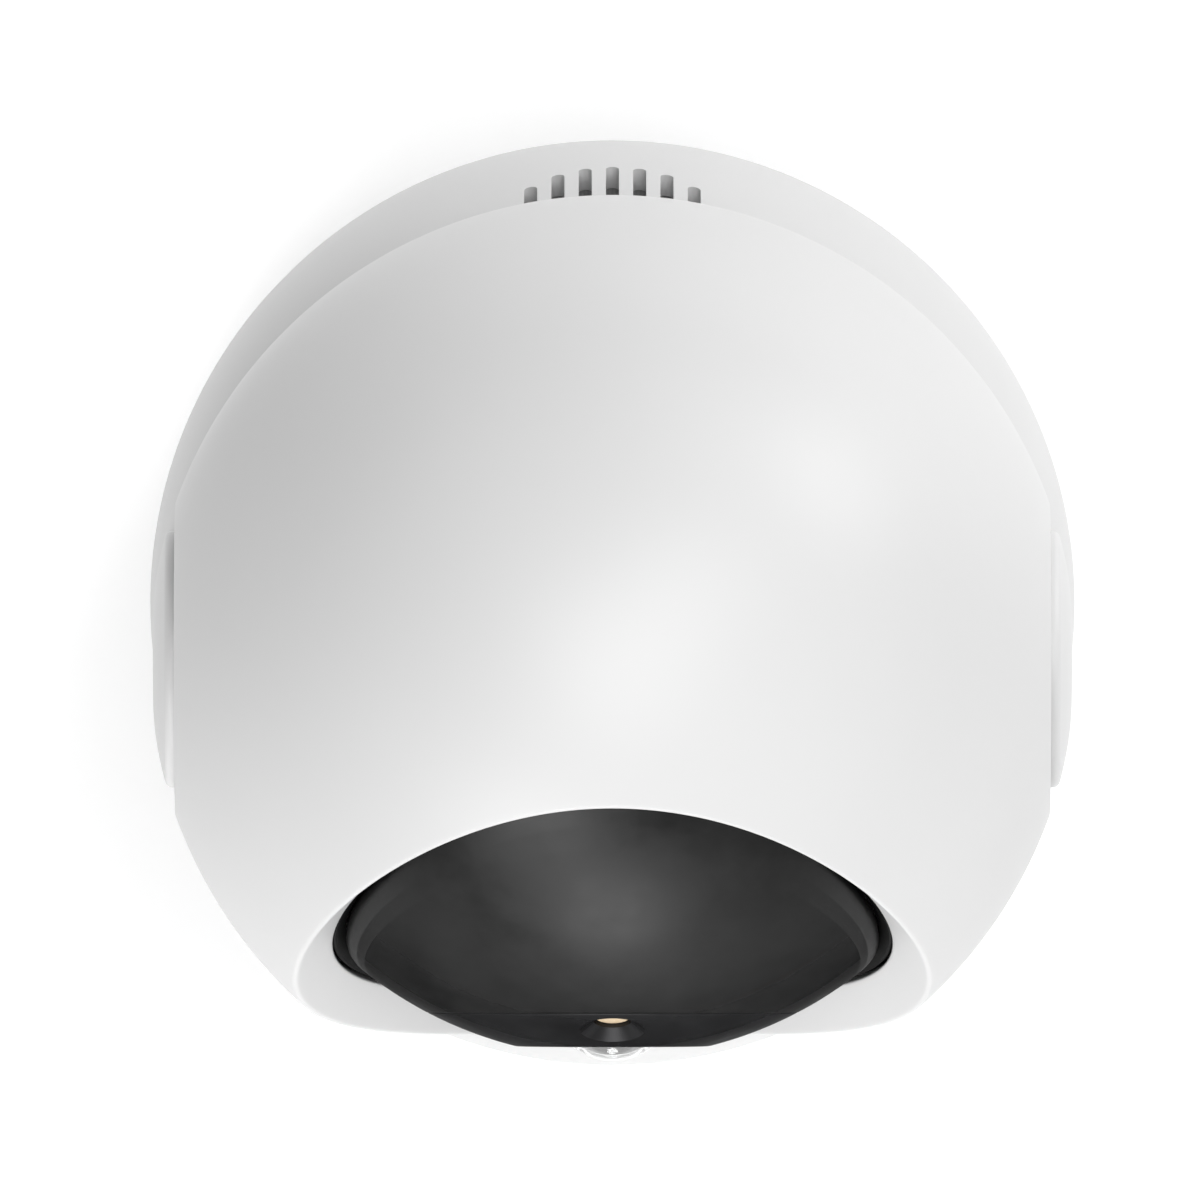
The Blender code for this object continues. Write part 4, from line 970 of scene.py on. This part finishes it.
def dress_carried():
    """Give the pieces inside, which keep their CAD shape, their materials."""
    for material, names in CARRIED.items():
        for name in names:
            node = frame["nodes"][name]
            node.data.materials.clear()
            node.data.materials.append(material)


# ---------------------------------------------------------------- studio

FLOOR_GLOW = 0.18
WORLD_LIGHT = 0.18
LIGHTS = {
    # name: (azimuth from +X, elevation, distance, size, power)
    "top": (0, 89, 1.0, 0.6, 4.33),
    "right_back_low": (40, 18, 0.8, 0.4, 2.12),
    "right_back_high": (45, 62, 0.8, 0.4, 1.49),
    "back_right": (68, 25, 0.8, 0.4, 0.49),
    "front_left": (245, 40, 0.8, 0.4, 2.17),
    "front_low": (270, 14, 0.8, 0.4, 2.41),
}


def floor():
    """A broad pale sweep that the camera stands on."""
    work = bmesh.new()
    bmesh.ops.create_grid(work, x_segments=2, y_segments=2, size=3.0)
    mesh = bpy.data.meshes.new("floor")
    work.to_mesh(mesh)
    work.free()
    ground = bpy.data.objects.new("floor", mesh)
    ground.location.z = -0.03 * MM
    bpy.context.scene.collection.objects.link(ground)
    material, tree, shader, place = node_material("pale_floor")
    patches = noise(tree, place, 0.5, 2.0)
    tree.links.new(mixed(tree, patches, (0.93, 0.93, 0.93), (0.96, 0.96, 0.96)), shader.inputs["Base Color"])
    shader.inputs["Roughness"].default_value = 0.9
    shader.inputs["Emission Color"].default_value = (1.0, 1.0, 1.0, 1.0)
    shader.inputs["Emission Strength"].default_value = FLOOR_GLOW
    mesh.materials.append(material)


def soft_light(name, azimuth, elevation, distance, size, power):
    """A round area light that points at the head from a direction, and that the camera doesn't see."""
    data = bpy.data.lights.new(name, 'AREA')
    data.energy = power
    data.shape = 'DISK'
    data.size = size
    lamp = bpy.data.objects.new(name, data)
    bpy.context.scene.collection.objects.link(lamp)
    turn, lift = math.radians(azimuth), math.radians(elevation)
    way = Vector((math.cos(turn) * math.cos(lift), math.sin(turn) * math.cos(lift), math.sin(lift)))
    lamp.location = HEAD + way * distance
    lamp.rotation_euler = way.to_track_quat('Z', 'Y').to_euler()
    lamp.visible_camera = False


def studio():
    """The floor, the lights and a plain white world."""
    floor()
    for name, values in LIGHTS.items():
        soft_light(name, *values)
    world = bpy.data.worlds.new("studio")
    bpy.context.scene.world = world
    world.use_nodes = True
    back = world.node_tree.nodes["Background"]
    back.inputs["Color"].default_value = (1.0, 1.0, 1.0, 1.0)
    back.inputs["Strength"].default_value = WORLD_LIGHT
    bpy.context.scene.view_settings.view_transform = 'Standard'


def camera():
    """A long lens straight above, with the lens side of the object towards the bottom of the picture."""
    data = bpy.data.cameras.new("camera")
    data.sensor_width = 36.0
    data.lens = 1450.0
    data.clip_end = 20.0
    view = bpy.data.objects.new("camera", data)
    bpy.context.scene.collection.objects.link(view)
    field = 112.2 * MM
    view.location = (-1.17 * MM, 0.23 * MM, HEAD.z + field * data.lens / data.sensor_width)
    bpy.context.scene.camera = view


dress_carried()
head_skin()
rear_cover()
bezel()
face()
lens_window()
lens()
light_sensor()
body_skin()
speaker_cloth()
arm("arm_skin_left", -1)
arm("arm_skin_right", 1)
base_skin()
foot_skin()
studio()
camera()
